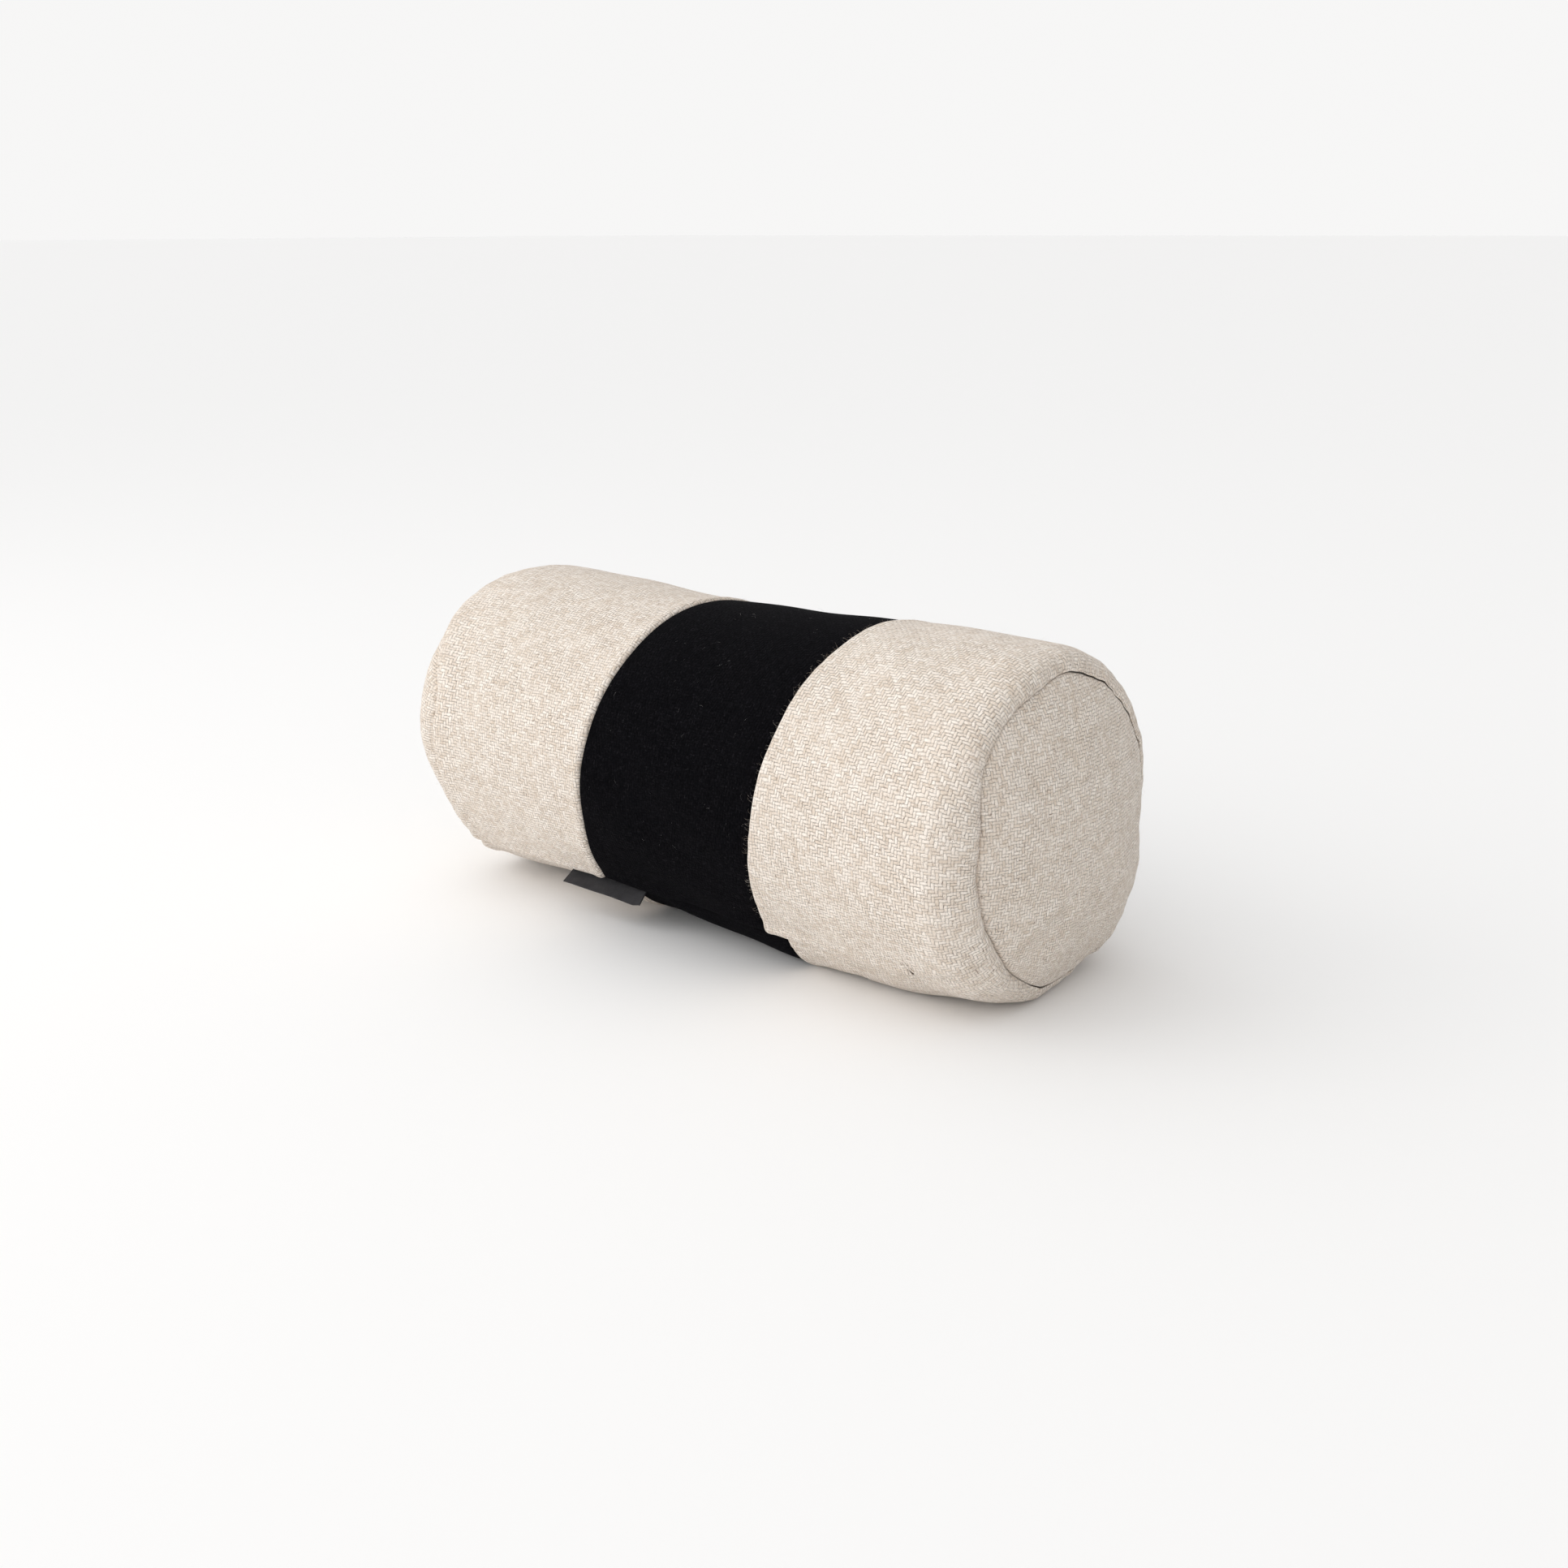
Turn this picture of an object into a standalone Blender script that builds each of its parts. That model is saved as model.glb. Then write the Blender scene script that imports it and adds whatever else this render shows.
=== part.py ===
"""Bolster pillow: a round cushion in a striped cover with a zip under a lap.

Metres, +Z up. The bolster lies along X on the plane z = 0, with its zip on the lower front, at -Y.
"""

import math

import bmesh
import bpy
from mathutils import Vector

# Driving dimensions of the stuffed bolster
BODY_DIAMETER = 0.178
SEAM_TO_SEAM = 0.375
SHOULDER_RADIUS = 0.0195
SHOULDER_TURN = math.radians(72.5)
END_EDGE_TURN = math.radians(25.5)
FLAT_DEPTH = 0.0036
BAND_WIDTH = 0.118
BAND_DRIFT = 0.026

# Cloth
COVER_THICKNESS = 0.0025
CASING_THICKNESS = 0.0008
SEAM_GAP = 0.0003
FILL_GAP = 0.0005
LAYING_GAP = 0.0008

# The lap that hides the zip, and where the zip lies around the bolster
ZIP_ANGLE = math.radians(39.0)
LAP_WIDTH = 0.019
LAP_THICKNESS = 0.0046
LAP_EDGE_GAP = 0.0005
OPENING_END_ROOM = 0.0375
ALLOWANCE_SLIDER_ROOM = 0.001
ALLOWANCE_LABEL_ROOM = 0.0004
ALLOWANCE_RISE = 0.00125
ALLOWANCE_LANDING = 0.004
LANDING_SINK = 0.0005
ALLOWANCE_INSET = 0.001

# Zip
CHAIN_END_ROOM = 0.006
TAPE_TAIL = 0.001
TAPE_WIDTH = 0.0115
TAPE_THICKNESS = 0.0006
TOOTH_PITCH = 0.003
TOOTH_WIDTH = 0.0017
TOOTH_REACH = 0.001
TOOTH_HEIGHT = 0.0024
BEAD_WIDTH = 0.001
CHAIN_GAP = 0.0012
STOP_LENGTH = 0.0025
STOP_HEIGHT = 0.0040
SLIDER_LENGTH = 0.009
SLIDER_PLATE = 0.0012
SLIDER_FLANGE = 0.0015
SLIDER_NOSE = 0.0056
SLIDER_TAIL_INSET = 0.0007
SLIDER_POST = 0.0006
CROWN_LENGTH = 0.006
CROWN_WIDTH = 0.001
CROWN_WALL = 0.0006
EYE_CLEARANCE = 0.0001
PULL_LENGTH = 0.014
PULL_WIDTH = 0.0036
PULL_THICKNESS = 0.001
PULL_EYE_LENGTH = 0.0038
RUNNING_GAP = 0.0003
LAP_CLEARANCE = 0.0011
CHANNEL_CLEARANCE = 0.0005
CHANNEL_RAMP = 0.016
CHANNEL_MARGIN = 0.005
CHANNEL_SLOPE = 0.0186

# Labels
LABEL_LEFT_OF_BAND = 0.025
LABEL_LENGTH = 0.054
LABEL_THICKNESS = 0.001
LABEL_STAND_OUT = 0.009
LABEL_GAP = 0.0008
CARE_LABEL_LENGTH = 0.035
CARE_LABEL_WIDTH = 0.009
CARE_LABEL_THICKNESS = 0.0005
CARE_LABEL_START = 0.030

# Facets
FACETS_ROUND = 40
FIRST_FACET = math.radians(45.0)
SHOULDER_STEPS = 4
DOME_STEPS = 4
LAP_ARC_STEPS = 4
FOLD_STEPS = 6
WELD = 0.00001

RADIUS = BODY_DIAMETER / 2
AXIS_HEIGHT = RADIUS - FLAT_DEPTH
SEAM_X = SEAM_TO_SEAM / 2
STRAIGHT_HALF = SEAM_X - SHOULDER_RADIUS * math.sin(SHOULDER_TURN)
SEAM_RADIUS = RADIUS - SHOULDER_RADIUS * (1 - math.cos(SHOULDER_TURN))
DISC_RADIUS = SEAM_RADIUS - SEAM_GAP
DOME_SPHERE = DISC_RADIUS / math.sin(END_EDGE_TURN)
CASING_DEPTH = COVER_THICKNESS + SEAM_GAP
FILL_DEPTH = CASING_DEPTH + CASING_THICKNESS + FILL_GAP
BAND_HALF = BAND_WIDTH / 2
OPENING_HALF = SEAM_X - OPENING_END_ROOM
CHAIN_LENGTH = 2 * (OPENING_HALF - CHAIN_END_ROOM)
TAPE_LENGTH = 2 * (OPENING_HALF + TAPE_TAIL)
LABEL_START = -BAND_HALF - LABEL_LEFT_OF_BAND

# Heights above the zip's tape, towards the outside of the bolster
CHANNEL_HALF_HEIGHT = TOOTH_HEIGHT / 2 + RUNNING_GAP
SLIDER_HALF_HEIGHT = CHANNEL_HALF_HEIGHT + SLIDER_PLATE
PULL_HALF_DIAGONAL = PULL_THICKNESS * math.sqrt(0.5)
CROWN_INNER_HEIGHT = 2 * (PULL_HALF_DIAGONAL + EYE_CLEARANCE)
PIVOT_HEIGHT = SLIDER_HALF_HEIGHT + CROWN_INNER_HEIGHT / 2
CROWN_TOP = SLIDER_HALF_HEIGHT + CROWN_INNER_HEIGHT + CROWN_WALL
TAPE_DEPTH = LAP_THICKNESS + LAP_CLEARANCE + CROWN_TOP
CHANNEL_DEPTH = TAPE_DEPTH + SLIDER_HALF_HEIGHT + CHANNEL_CLEARANCE

# Distances across the zip, from the middle of the chain
TOOTH_TIP = CHAIN_GAP / 2
BEAD_INNER = TOOTH_TIP + TOOTH_REACH
BEAD_OUTER = BEAD_INNER + BEAD_WIDTH
TAPE_INNER = BEAD_OUTER + SEAM_GAP
SLIDER_CHANNEL = BEAD_OUTER + RUNNING_GAP
SLIDER_HALF_WIDTH = SLIDER_CHANNEL + SLIDER_FLANGE
LABEL_NEAR = LAP_WIDTH / 2 + LABEL_GAP
LABEL_FAR = LABEL_NEAR + LABEL_THICKNESS
ALLOWANCE_START = SLIDER_HALF_WIDTH + ALLOWANCE_SLIDER_ROOM
ALLOWANCE_FOLD = LABEL_FAR + ALLOWANCE_LABEL_ROOM
CHANNEL_HALF_ANGLE = (TAPE_INNER + TAPE_WIDTH + CHANNEL_MARGIN) / RADIUS
CHANNEL_SIDE_ANGLE = CHANNEL_SLOPE / RADIUS

CUTTER_REACH = 0.02

PARTS = "bolster_pillow"
CUTTERS = "cutters"


def clear_scene():
    for obj in list(bpy.data.objects):
        bpy.data.objects.remove(obj, do_unlink=True)
    for name in (PARTS, CUTTERS):
        collection = bpy.data.collections.new(name)
        bpy.context.scene.collection.children.link(collection)


def material(name, colour, roughness, metallic=0.0):
    made = bpy.data.materials.new(name)
    made.use_nodes = True
    shader = made.node_tree.nodes["Principled BSDF"]
    shader.inputs["Base Color"].default_value = (*colour, 1.0)
    shader.inputs["Roughness"].default_value = roughness
    shader.inputs["Metallic"].default_value = metallic
    return made


def make_materials():
    return {
        "cream_wool": material("cream_wool", (0.80, 0.72, 0.64), 0.95),
        "black_wool": material("black_wool", (0.006, 0.006, 0.007), 0.95),
        "label_weave": material("label_weave", (0.03, 0.03, 0.032), 0.75),
        "care_weave": material("care_weave", (0.85, 0.85, 0.83), 0.8),
        "zip_weave": material("zip_weave", (0.68, 0.61, 0.53), 0.85),
        "tooth_plastic": material("tooth_plastic", (0.60, 0.54, 0.46), 0.45),
        "slider_metal": material("slider_metal", (0.10, 0.10, 0.10), 0.4, 0.8),
        "casing_cotton": material("casing_cotton", (0.84, 0.82, 0.77), 0.9),
        "fill_fibre": material("fill_fibre", (0.90, 0.89, 0.87), 1.0),
    }


def place(obj, collection, parent=None):
    """Puts a new object in its collection and under its parent, in the parent's own frame."""
    for old in list(obj.users_collection):
        old.objects.unlink(obj)
    bpy.data.collections[collection].objects.link(obj)
    if collection == CUTTERS:
        obj.hide_render = True
        obj.display_type = "WIRE"
    if parent:
        obj.parent = parent
    return obj


def finish(obj, made, smooth_angle=None):
    obj.data.materials.append(made)
    if smooth_angle is not None:
        obj.data.shade_smooth()
        obj.data.set_sharp_from_angle(angle=math.radians(smooth_angle))
    return obj


def mesh_object(name, bm, collection, parent=None):
    mesh = bpy.data.meshes.new(name)
    bm.to_mesh(mesh)
    bm.free()
    return place(bpy.data.objects.new(name, mesh), collection, parent)


def box(name, low, high, collection, parent=None):
    """A box between two corners, given in the parent's frame."""
    bm = bmesh.new()
    bmesh.ops.create_cube(bm, size=1.0)
    size = [b - a for a, b in zip(low, high)]
    middle = [(a + b) / 2 for a, b in zip(low, high)]
    bmesh.ops.scale(bm, vec=size, verts=bm.verts)
    made = mesh_object(name, bm, collection, parent)
    made.location = middle
    return made


def flat_outline(name, outlines, height, collection, parent=None):
    """Closed outlines in the XY plane, filled and extruded to a height centred on the plane."""
    curve = bpy.data.curves.new(name, "CURVE")
    curve.dimensions = "2D"
    curve.fill_mode = "BOTH"
    curve.extrude = height / 2
    for points in outlines:
        spline = curve.splines.new("POLY")
        spline.points.add(len(points) - 1)
        for point, (x, y) in zip(spline.points, points):
            point.co = (x, y, 0.0, 1.0)
        spline.use_cyclic_u = True
    return place(bpy.data.objects.new(name, curve), collection, parent)


def as_mesh(obj):
    """Turns a curve object into a closed mesh object in the same place, so that it can be cut or joined."""
    bpy.context.view_layer.update()
    depsgraph = bpy.context.evaluated_depsgraph_get()
    mesh = bpy.data.meshes.new_from_object(obj.evaluated_get(depsgraph))
    bm = bmesh.new()
    bm.from_mesh(mesh)
    bmesh.ops.remove_doubles(bm, verts=bm.verts, dist=WELD)
    bmesh.ops.recalc_face_normals(bm, faces=bm.faces)
    bm.to_mesh(mesh)
    bm.free()
    name, collection, parent = obj.name, obj.users_collection[0].name, obj.parent
    matrix = obj.matrix_world.copy()
    bpy.data.objects.remove(obj, do_unlink=True)
    made = place(bpy.data.objects.new(name, mesh), collection, parent)
    made.name = name
    bpy.context.view_layer.update()
    made.matrix_world = matrix
    return made


def cut(obj, *cutters):
    for cutter in cutters:
        step = obj.modifiers.new("cut_" + cutter.name, "BOOLEAN")
        step.operation = "DIFFERENCE"
        step.object = cutter


def join(obj, *others):
    for other in others:
        step = obj.modifiers.new("join_" + other.name, "BOOLEAN")
        step.operation = "UNION"
        step.object = other


def solidify(obj, thickness):
    """Gives an open surface its wall, on the side that its faces turn away from."""
    step = obj.modifiers.new("wall", "SOLIDIFY")
    step.thickness = thickness
    step.offset = -1.0
    step.use_even_offset = True


# The outer skin of the bolster, and every layer at some depth below it


def shoulder(depth, side):
    """The rounded edge of the tube at one end, its points in order along X."""
    points = []
    for step in range(SHOULDER_STEPS + 1):
        turn = SHOULDER_TURN * step / SHOULDER_STEPS
        reach = SHOULDER_RADIUS - depth
        x = STRAIGHT_HALF + reach * math.sin(turn)
        points.append((side * x, RADIUS - SHOULDER_RADIUS + reach * math.cos(turn)))
    return points[::side]


def dome(depth, side):
    """The crown of an end disc, an arc of a large sphere, its points in order along X."""
    centre = SEAM_X - DOME_SPHERE * math.cos(END_EDGE_TURN)
    points = []
    for step in range(DOME_STEPS + 1):
        turn = END_EDGE_TURN * (1 - step / DOME_STEPS)
        reach = DOME_SPHERE - depth
        points.append((side * (centre + reach * math.cos(turn)), reach * math.sin(turn)))
    return points[::side]


def channel_stations(depth):
    """The straight wall, with a ring wherever the channel behind the zip begins, deepens or ends."""
    floor_half = TAPE_LENGTH / 2 + CHANNEL_CLEARANCE
    top_half = floor_half + CHANNEL_RAMP
    return [(x, RADIUS - depth) for x in (-top_half, -floor_half, floor_half, top_half)]


def around(angle, radius):
    """Y and Z of a point on a circle round the bolster's axis, at an angle below the front."""
    return -radius * math.cos(angle), AXIS_HEIGHT - radius * math.sin(angle)


def outwards(bm):
    """Turns every face of a surface round the axis away from the axis."""
    middle = Vector((0, 0, AXIS_HEIGHT))
    total = 0.0
    for face in bm.faces:
        face.normal_update()
        total += face.normal.dot(face.calc_center_median() - middle) * face.calc_area()
    if total < 0:
        bmesh.ops.reverse_faces(bm, faces=bm.faces)


def drift(angle):
    """How far the band has slipped along the bolster, from none at the lap to the most opposite it."""
    round_from_lap = (ZIP_ANGLE - angle) % math.tau
    return BAND_DRIFT * math.sin(round_from_lap / 2)


def slip_band_edges(bm):
    """Moves the edges where a panel meets the centre band by the band's drift."""
    for vert in bm.verts:
        if abs(abs(vert.co.x) - BAND_HALF) < 2 * SEAM_GAP:
            angle = math.atan2(AXIS_HEIGHT - vert.co.z, -vert.co.y)
            vert.co.x += drift(angle)


def turned(name, profile, depth, channelled=False, striped=False):
    """A surface turned from a profile of (x, radius) and laid flat underneath at its own depth."""
    bm = bmesh.new()
    verts = []
    for x, radius in profile:
        y, z = around(FIRST_FACET, radius)
        verts.append(bm.verts.new((x, y, z)))
    edges = [bm.edges.new(pair) for pair in zip(verts, verts[1:])]
    centre = (0, 0, AXIS_HEIGHT)
    bmesh.ops.spin(bm, geom=verts + edges, cent=centre, axis=(1, 0, 0), angle=math.tau, steps=FACETS_ROUND)
    bmesh.ops.remove_doubles(bm, verts=bm.verts, dist=WELD)
    bmesh.ops.dissolve_degenerate(bm, edges=bm.edges, dist=WELD)
    if channelled:
        press_channel(bm, depth)
    if striped:
        slip_band_edges(bm)
    floor = depth + LAYING_GAP if depth else 0.0
    for vert in bm.verts:
        vert.co.z = max(vert.co.z, floor)
    outwards(bm)
    bmesh.ops.triangulate(bm, faces=bm.faces, quad_method="FIXED")
    return mesh_object(name, bm, PARTS)


def press_channel(bm, depth):
    """Presses a soft layer in behind the zip, so that the slider can run."""
    floor_half = TAPE_LENGTH / 2 + CHANNEL_CLEARANCE
    for vert in bm.verts:
        radius = math.hypot(vert.co.y, vert.co.z - AXIS_HEIGHT)
        angle = math.atan2(AXIS_HEIGHT - vert.co.z, -vert.co.y)
        beyond = max(0.0, (abs(vert.co.x) - floor_half) / CHANNEL_RAMP)
        aside = max(0.0, (abs(angle - ZIP_ANGLE) - CHANNEL_HALF_ANGLE) / CHANNEL_SIDE_ANGLE)
        share = 1.0 - max(beyond, aside)
        if share > 0 and radius > SEAM_RADIUS:
            pressed = radius - share * (CHANNEL_DEPTH + depth - CASING_DEPTH - (RADIUS - radius))
            vert.co.y, vert.co.z = around(angle, pressed)


# The zip's own frame: X along the bolster, Y up the skin, Z out of the skin, 0 in the middle of the tape


def zip_frame():
    empty = bpy.data.objects.new("zip_frame", None)
    y, z = around(ZIP_ANGLE, RADIUS - TAPE_DEPTH)
    empty.location = (0, y, z)
    empty.rotation_euler = (math.pi / 2 + ZIP_ANGLE, 0, 0)
    return place(empty, PARTS)


def skin_height(across):
    """Height of the bolster's skin above the tape, at a distance across the zip."""
    return math.sqrt(RADIUS**2 - across**2) - (RADIUS - TAPE_DEPTH)


def folded_allowance(name, side, start, stop, parent):
    """The edge of a panel turned under beside the zip: down from the panel, then along the tape."""
    low = TAPE_THICKNESS / 2 + SEAM_GAP + COVER_THICKNESS
    rise = ALLOWANCE_FOLD + ALLOWANCE_RISE
    far = rise + ALLOWANCE_LANDING
    profile = [
        (ALLOWANCE_START, low),
        (ALLOWANCE_FOLD, low),
        (rise, skin_height(rise) - LANDING_SINK),
        (far, skin_height(far) - LANDING_SINK),
    ]
    bm = bmesh.new()
    verts = [bm.verts.new((start, side * across, height)) for across, height in profile]
    edges = [bm.edges.new(pair) for pair in zip(verts, verts[1:])]
    grown = bmesh.ops.extrude_edge_only(bm, edges=edges)
    new_verts = [item for item in grown["geom"] if isinstance(item, bmesh.types.BMVert)]
    bmesh.ops.translate(bm, verts=new_verts, vec=(stop - start, 0, 0))
    bm.normal_update()
    if sum(face.normal.z for face in bm.faces) < 0:
        bmesh.ops.reverse_faces(bm, faces=bm.faces)
    made = mesh_object(name, bm, CUTTERS, parent)
    solidify(made, COVER_THICKNESS)
    return made


def opening_cutter(parent):
    """Takes the zip's opening, the width of the lap, out of the panels."""
    low = (-OPENING_HALF, -LAP_WIDTH / 2 - LAP_EDGE_GAP, -CUTTER_REACH)
    high = (OPENING_HALF, LAP_WIDTH / 2 + SEAM_GAP, CUTTER_REACH)
    return box("opening_cutter", low, high, CUTTERS, parent)


def label_cutter(parent):
    """Leaves room for the side label between the lap and the panels."""
    low = (LABEL_START - SEAM_GAP, -LABEL_FAR - SEAM_GAP, -CUTTER_REACH)
    high = (LABEL_START + LABEL_LENGTH + SEAM_GAP, 0, CUTTER_REACH)
    return box("label_cutter", low, high, CUTTERS, parent)


def panel(name, profile, made, cutters, allowances):
    obj = turned(name, profile, 0.0, striped=True)
    solidify(obj, COVER_THICKNESS)
    obj.modifiers.new("flat_faces", "TRIANGULATE")
    cut(obj, *cutters)
    join(obj, *allowances)
    return finish(obj, made, 40)


def cover_panels(materials, frame):
    opening, label = opening_cutter(frame), label_cutter(frame)
    edge = BAND_HALF + SEAM_GAP / 2
    inset = edge + ALLOWANCE_INSET
    end = OPENING_HALF - SEAM_GAP
    spans = {
        "left_panel": (-end, -inset),
        "centre_band": (-BAND_HALF + ALLOWANCE_INSET, BAND_HALF - ALLOWANCE_INSET),
        "right_panel": (inset, end),
    }
    allowances = {}
    slip = drift(ZIP_ANGLE - LAP_WIDTH / RADIUS)
    for name, (start, stop) in spans.items():
        reach = (max(-end, start + slip), min(end, stop + slip / 2))
        upper = folded_allowance(name + "_upper_allowance", 1, *reach, frame)
        lower = folded_allowance(name + "_lower_allowance", -1, *reach, frame)
        allowances[name] = (upper, lower)
    left = [*shoulder(0.0, -1), (-edge, RADIUS)]
    right = [(edge, RADIUS), *shoulder(0.0, 1)]
    band = [(-BAND_HALF + SEAM_GAP / 2, RADIUS), (BAND_HALF - SEAM_GAP / 2, RADIUS)]
    cream, black = materials["cream_wool"], materials["black_wool"]
    panel("left_panel", left, cream, (opening, label), allowances["left_panel"])
    panel("centre_band", band, black, (opening, label), allowances["centre_band"])
    panel("right_panel", right, cream, (opening,), allowances["right_panel"])


def end_disc(name, side, depth, thickness, made):
    obj = turned(name, dome(depth, side), depth)
    solidify(obj, thickness)
    return finish(obj, made, 40)


def lap_outline():
    """Section of the lap, cloth folded double: root at the origin, free edge at -X, skin above."""
    root, half = LAP_WIDTH / 2, LAP_THICKNESS / 2
    base = skin_height(root)
    fold = -LAP_WIDTH / 2 + half
    steps = [root + (fold - root) * step / LAP_ARC_STEPS for step in range(LAP_ARC_STEPS + 1)]
    outer = [(u - root, skin_height(u) - base) for u in steps]
    inner = [(u - root, skin_height(u) - base - LAP_THICKNESS) for u in reversed(steps)]
    edge = []
    for step in range(1, FOLD_STEPS):
        turn = math.pi * step / FOLD_STEPS
        height = skin_height(fold) - base - half + half * math.cos(turn)
        edge.append((fold - root - half * math.sin(turn), height))
    return outer + edge + inner


def lap(materials, frame):
    """Three lengths of lap on one hinge line, where the lap turns back over the zip."""
    hinge = bpy.data.objects.new("lap_hinge", None)
    hinge.location = (0, LAP_WIDTH / 2, skin_height(LAP_WIDTH / 2))
    place(hinge, PARTS, frame)
    end = OPENING_HALF - SEAM_GAP
    gap = SEAM_GAP / 2
    spans = {
        "left_lap": (-end, -BAND_HALF - gap, "cream_wool"),
        "centre_lap": (-BAND_HALF + gap, BAND_HALF - gap, "black_wool"),
        "right_lap": (BAND_HALF + gap, end, "cream_wool"),
    }
    for name, (start, stop, cloth) in spans.items():
        obj = flat_outline(name, [lap_outline()], stop - start, PARTS, hinge)
        obj.rotation_euler = (math.pi / 2, 0, math.pi / 2)
        obj.location = ((start + stop) / 2, 0, 0)
        finish(obj, materials[cloth])


def labels(materials, frame):
    low_height = TAPE_THICKNESS / 2 + COVER_THICKNESS + 2 * SEAM_GAP
    low = (LABEL_START, -LABEL_FAR, low_height)
    high = (LABEL_START + LABEL_LENGTH, -LABEL_NEAR, skin_height(LABEL_FAR) + LABEL_STAND_OUT)
    side_label = box("side_label", low, high, PARTS, frame)
    finish(side_label, materials["label_weave"])
    near = SLIDER_HALF_WIDTH + RUNNING_GAP
    top = -TAPE_THICKNESS / 2 - SEAM_GAP
    low = (CARE_LABEL_START, -near - CARE_LABEL_WIDTH, top - CARE_LABEL_THICKNESS)
    high = (CARE_LABEL_START + CARE_LABEL_LENGTH, -near, top)
    finish(box("care_label", low, high, PARTS, frame), materials["care_weave"])


def comb_outline(side, shift):
    """Teeth on the corded edge of one tape, seen from outside, pointing at the other tape."""
    half = CHAIN_LENGTH / 2
    count = int((CHAIN_LENGTH - shift) // TOOTH_PITCH)
    points = [(-half, BEAD_OUTER), (half, BEAD_OUTER), (half, BEAD_INNER)]
    for tooth in reversed(range(count)):
        middle = -half + shift + (tooth + 0.5) * TOOTH_PITCH
        right, left = middle + TOOTH_WIDTH / 2, middle - TOOTH_WIDTH / 2
        points += [(right, BEAD_INNER), (right, TOOTH_TIP), (left, TOOTH_TIP), (left, BEAD_INNER)]
    points.append((-half, BEAD_INNER))
    return [(x, side * across) for x, across in points]


def tapes_and_teeth(materials, frame):
    for word, side, shift in (("upper", 1, 0.0), ("lower", -1, TOOTH_PITCH / 2)):
        inner, outer = TAPE_INNER, TAPE_INNER + TAPE_WIDTH
        low = (-TAPE_LENGTH / 2, min(side * inner, side * outer), -TAPE_THICKNESS / 2)
        high = (TAPE_LENGTH / 2, max(side * inner, side * outer), TAPE_THICKNESS / 2)
        finish(box("zip_tape_" + word, low, high, PARTS, frame), materials["zip_weave"])
        outline = [comb_outline(side, shift)]
        teeth = flat_outline("zip_teeth_" + word, outline, TOOTH_HEIGHT, PARTS, frame)
        finish(teeth, materials["tooth_plastic"])
        near, far = min(side * TOOTH_TIP, side * BEAD_OUTER), max(side * TOOTH_TIP, side * BEAD_OUTER)
        start = CHAIN_LENGTH / 2 + SEAM_GAP
        low = (start, near, -STOP_HEIGHT / 2)
        high = (start + STOP_LENGTH, far, STOP_HEIGHT / 2)
        finish(box("top_stop_" + word, low, high, PARTS, frame), materials["slider_metal"])
    start = -CHAIN_LENGTH / 2 - SEAM_GAP
    low = (start - STOP_LENGTH, -BEAD_OUTER, -STOP_HEIGHT / 2)
    high = (start, BEAD_OUTER, STOP_HEIGHT / 2)
    finish(box("bottom_stop", low, high, PARTS, frame), materials["slider_metal"])


def slider(materials, frame):
    """Two plates on a thin post, with a channel for each row of teeth and a slot for each tape."""
    half, tail = SLIDER_LENGTH / 2, SLIDER_HALF_WIDTH - SLIDER_TAIL_INSET
    waist = half - SLIDER_NOSE
    shield = [
        (half, -SLIDER_HALF_WIDTH),
        (half, SLIDER_HALF_WIDTH),
        (waist, SLIDER_HALF_WIDTH),
        (-half, tail),
        (-half, -tail),
        (waist, -SLIDER_HALF_WIDTH),
    ]
    seat = bpy.data.objects.new("slider_seat", None)
    seat.location = (CHAIN_LENGTH / 2 - half, 0, 0)
    place(seat, PARTS, frame)
    body = as_mesh(flat_outline("zip_slider", [shield], 2 * SLIDER_HALF_HEIGHT, PARTS, seat))
    slot = TAPE_THICKNESS / 2 + RUNNING_GAP
    for word, side in (("upper", 1), ("lower", -1)):
        across = sorted((side * SLIDER_POST / 2, side * SLIDER_CHANNEL))
        low = (-SLIDER_LENGTH, across[0], -CHANNEL_HALF_HEIGHT)
        high = (SLIDER_LENGTH, across[1], CHANNEL_HALF_HEIGHT)
        cut(body, box("channel_" + word, low, high, CUTTERS, seat))
        across = sorted((side * BEAD_OUTER, side * (SLIDER_HALF_WIDTH + SLIDER_FLANGE)))
        low = (-SLIDER_LENGTH, across[0], -slot)
        high = (SLIDER_LENGTH, across[1], slot)
        cut(body, box("tape_slot_" + word, low, high, CUTTERS, seat))
    join(body, crown(seat))
    finish(body, materials["slider_metal"])
    pull(materials, seat)


def crown(seat):
    """The small arch on the slider that the pull's eye hangs on."""
    half, wall = CROWN_LENGTH / 2, CROWN_WALL
    base, top = SLIDER_HALF_HEIGHT - SLIDER_PLATE / 2, CROWN_TOP
    inner = top - wall
    arch = [
        (-half, base),
        (-half, top),
        (half, top),
        (half, base),
        (half - wall, base),
        (half - wall, inner),
        (-half + wall, inner),
        (-half + wall, base),
    ]
    obj = flat_outline("crown", [arch], CROWN_WIDTH, CUTTERS, seat)
    obj.rotation_euler = (math.pi / 2, 0, 0)
    return as_mesh(obj)


def pull(materials, seat):
    """A flat tab whose eye turns on the crown, lying back along the closed chain."""
    half, bar = PULL_WIDTH / 2, PULL_THICKNESS / 2
    end = bar - PULL_LENGTH
    eye_half = CROWN_WIDTH / 2 + RUNNING_GAP
    corner = end + half / 2
    tab = [(bar, -half), (bar, half), (corner, half), (end, half / 2), (end, -half / 2), (corner, -half)]
    far = -bar - PULL_EYE_LENGTH
    eye = [(-bar, -eye_half), (-bar, eye_half), (far, eye_half), (far, -eye_half)]
    obj = flat_outline("zip_pull", [tab, eye], PULL_THICKNESS, PARTS, seat)
    obj.location = (0, 0, PIVOT_HEIGHT)
    finish(obj, materials["slider_metal"])


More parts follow.
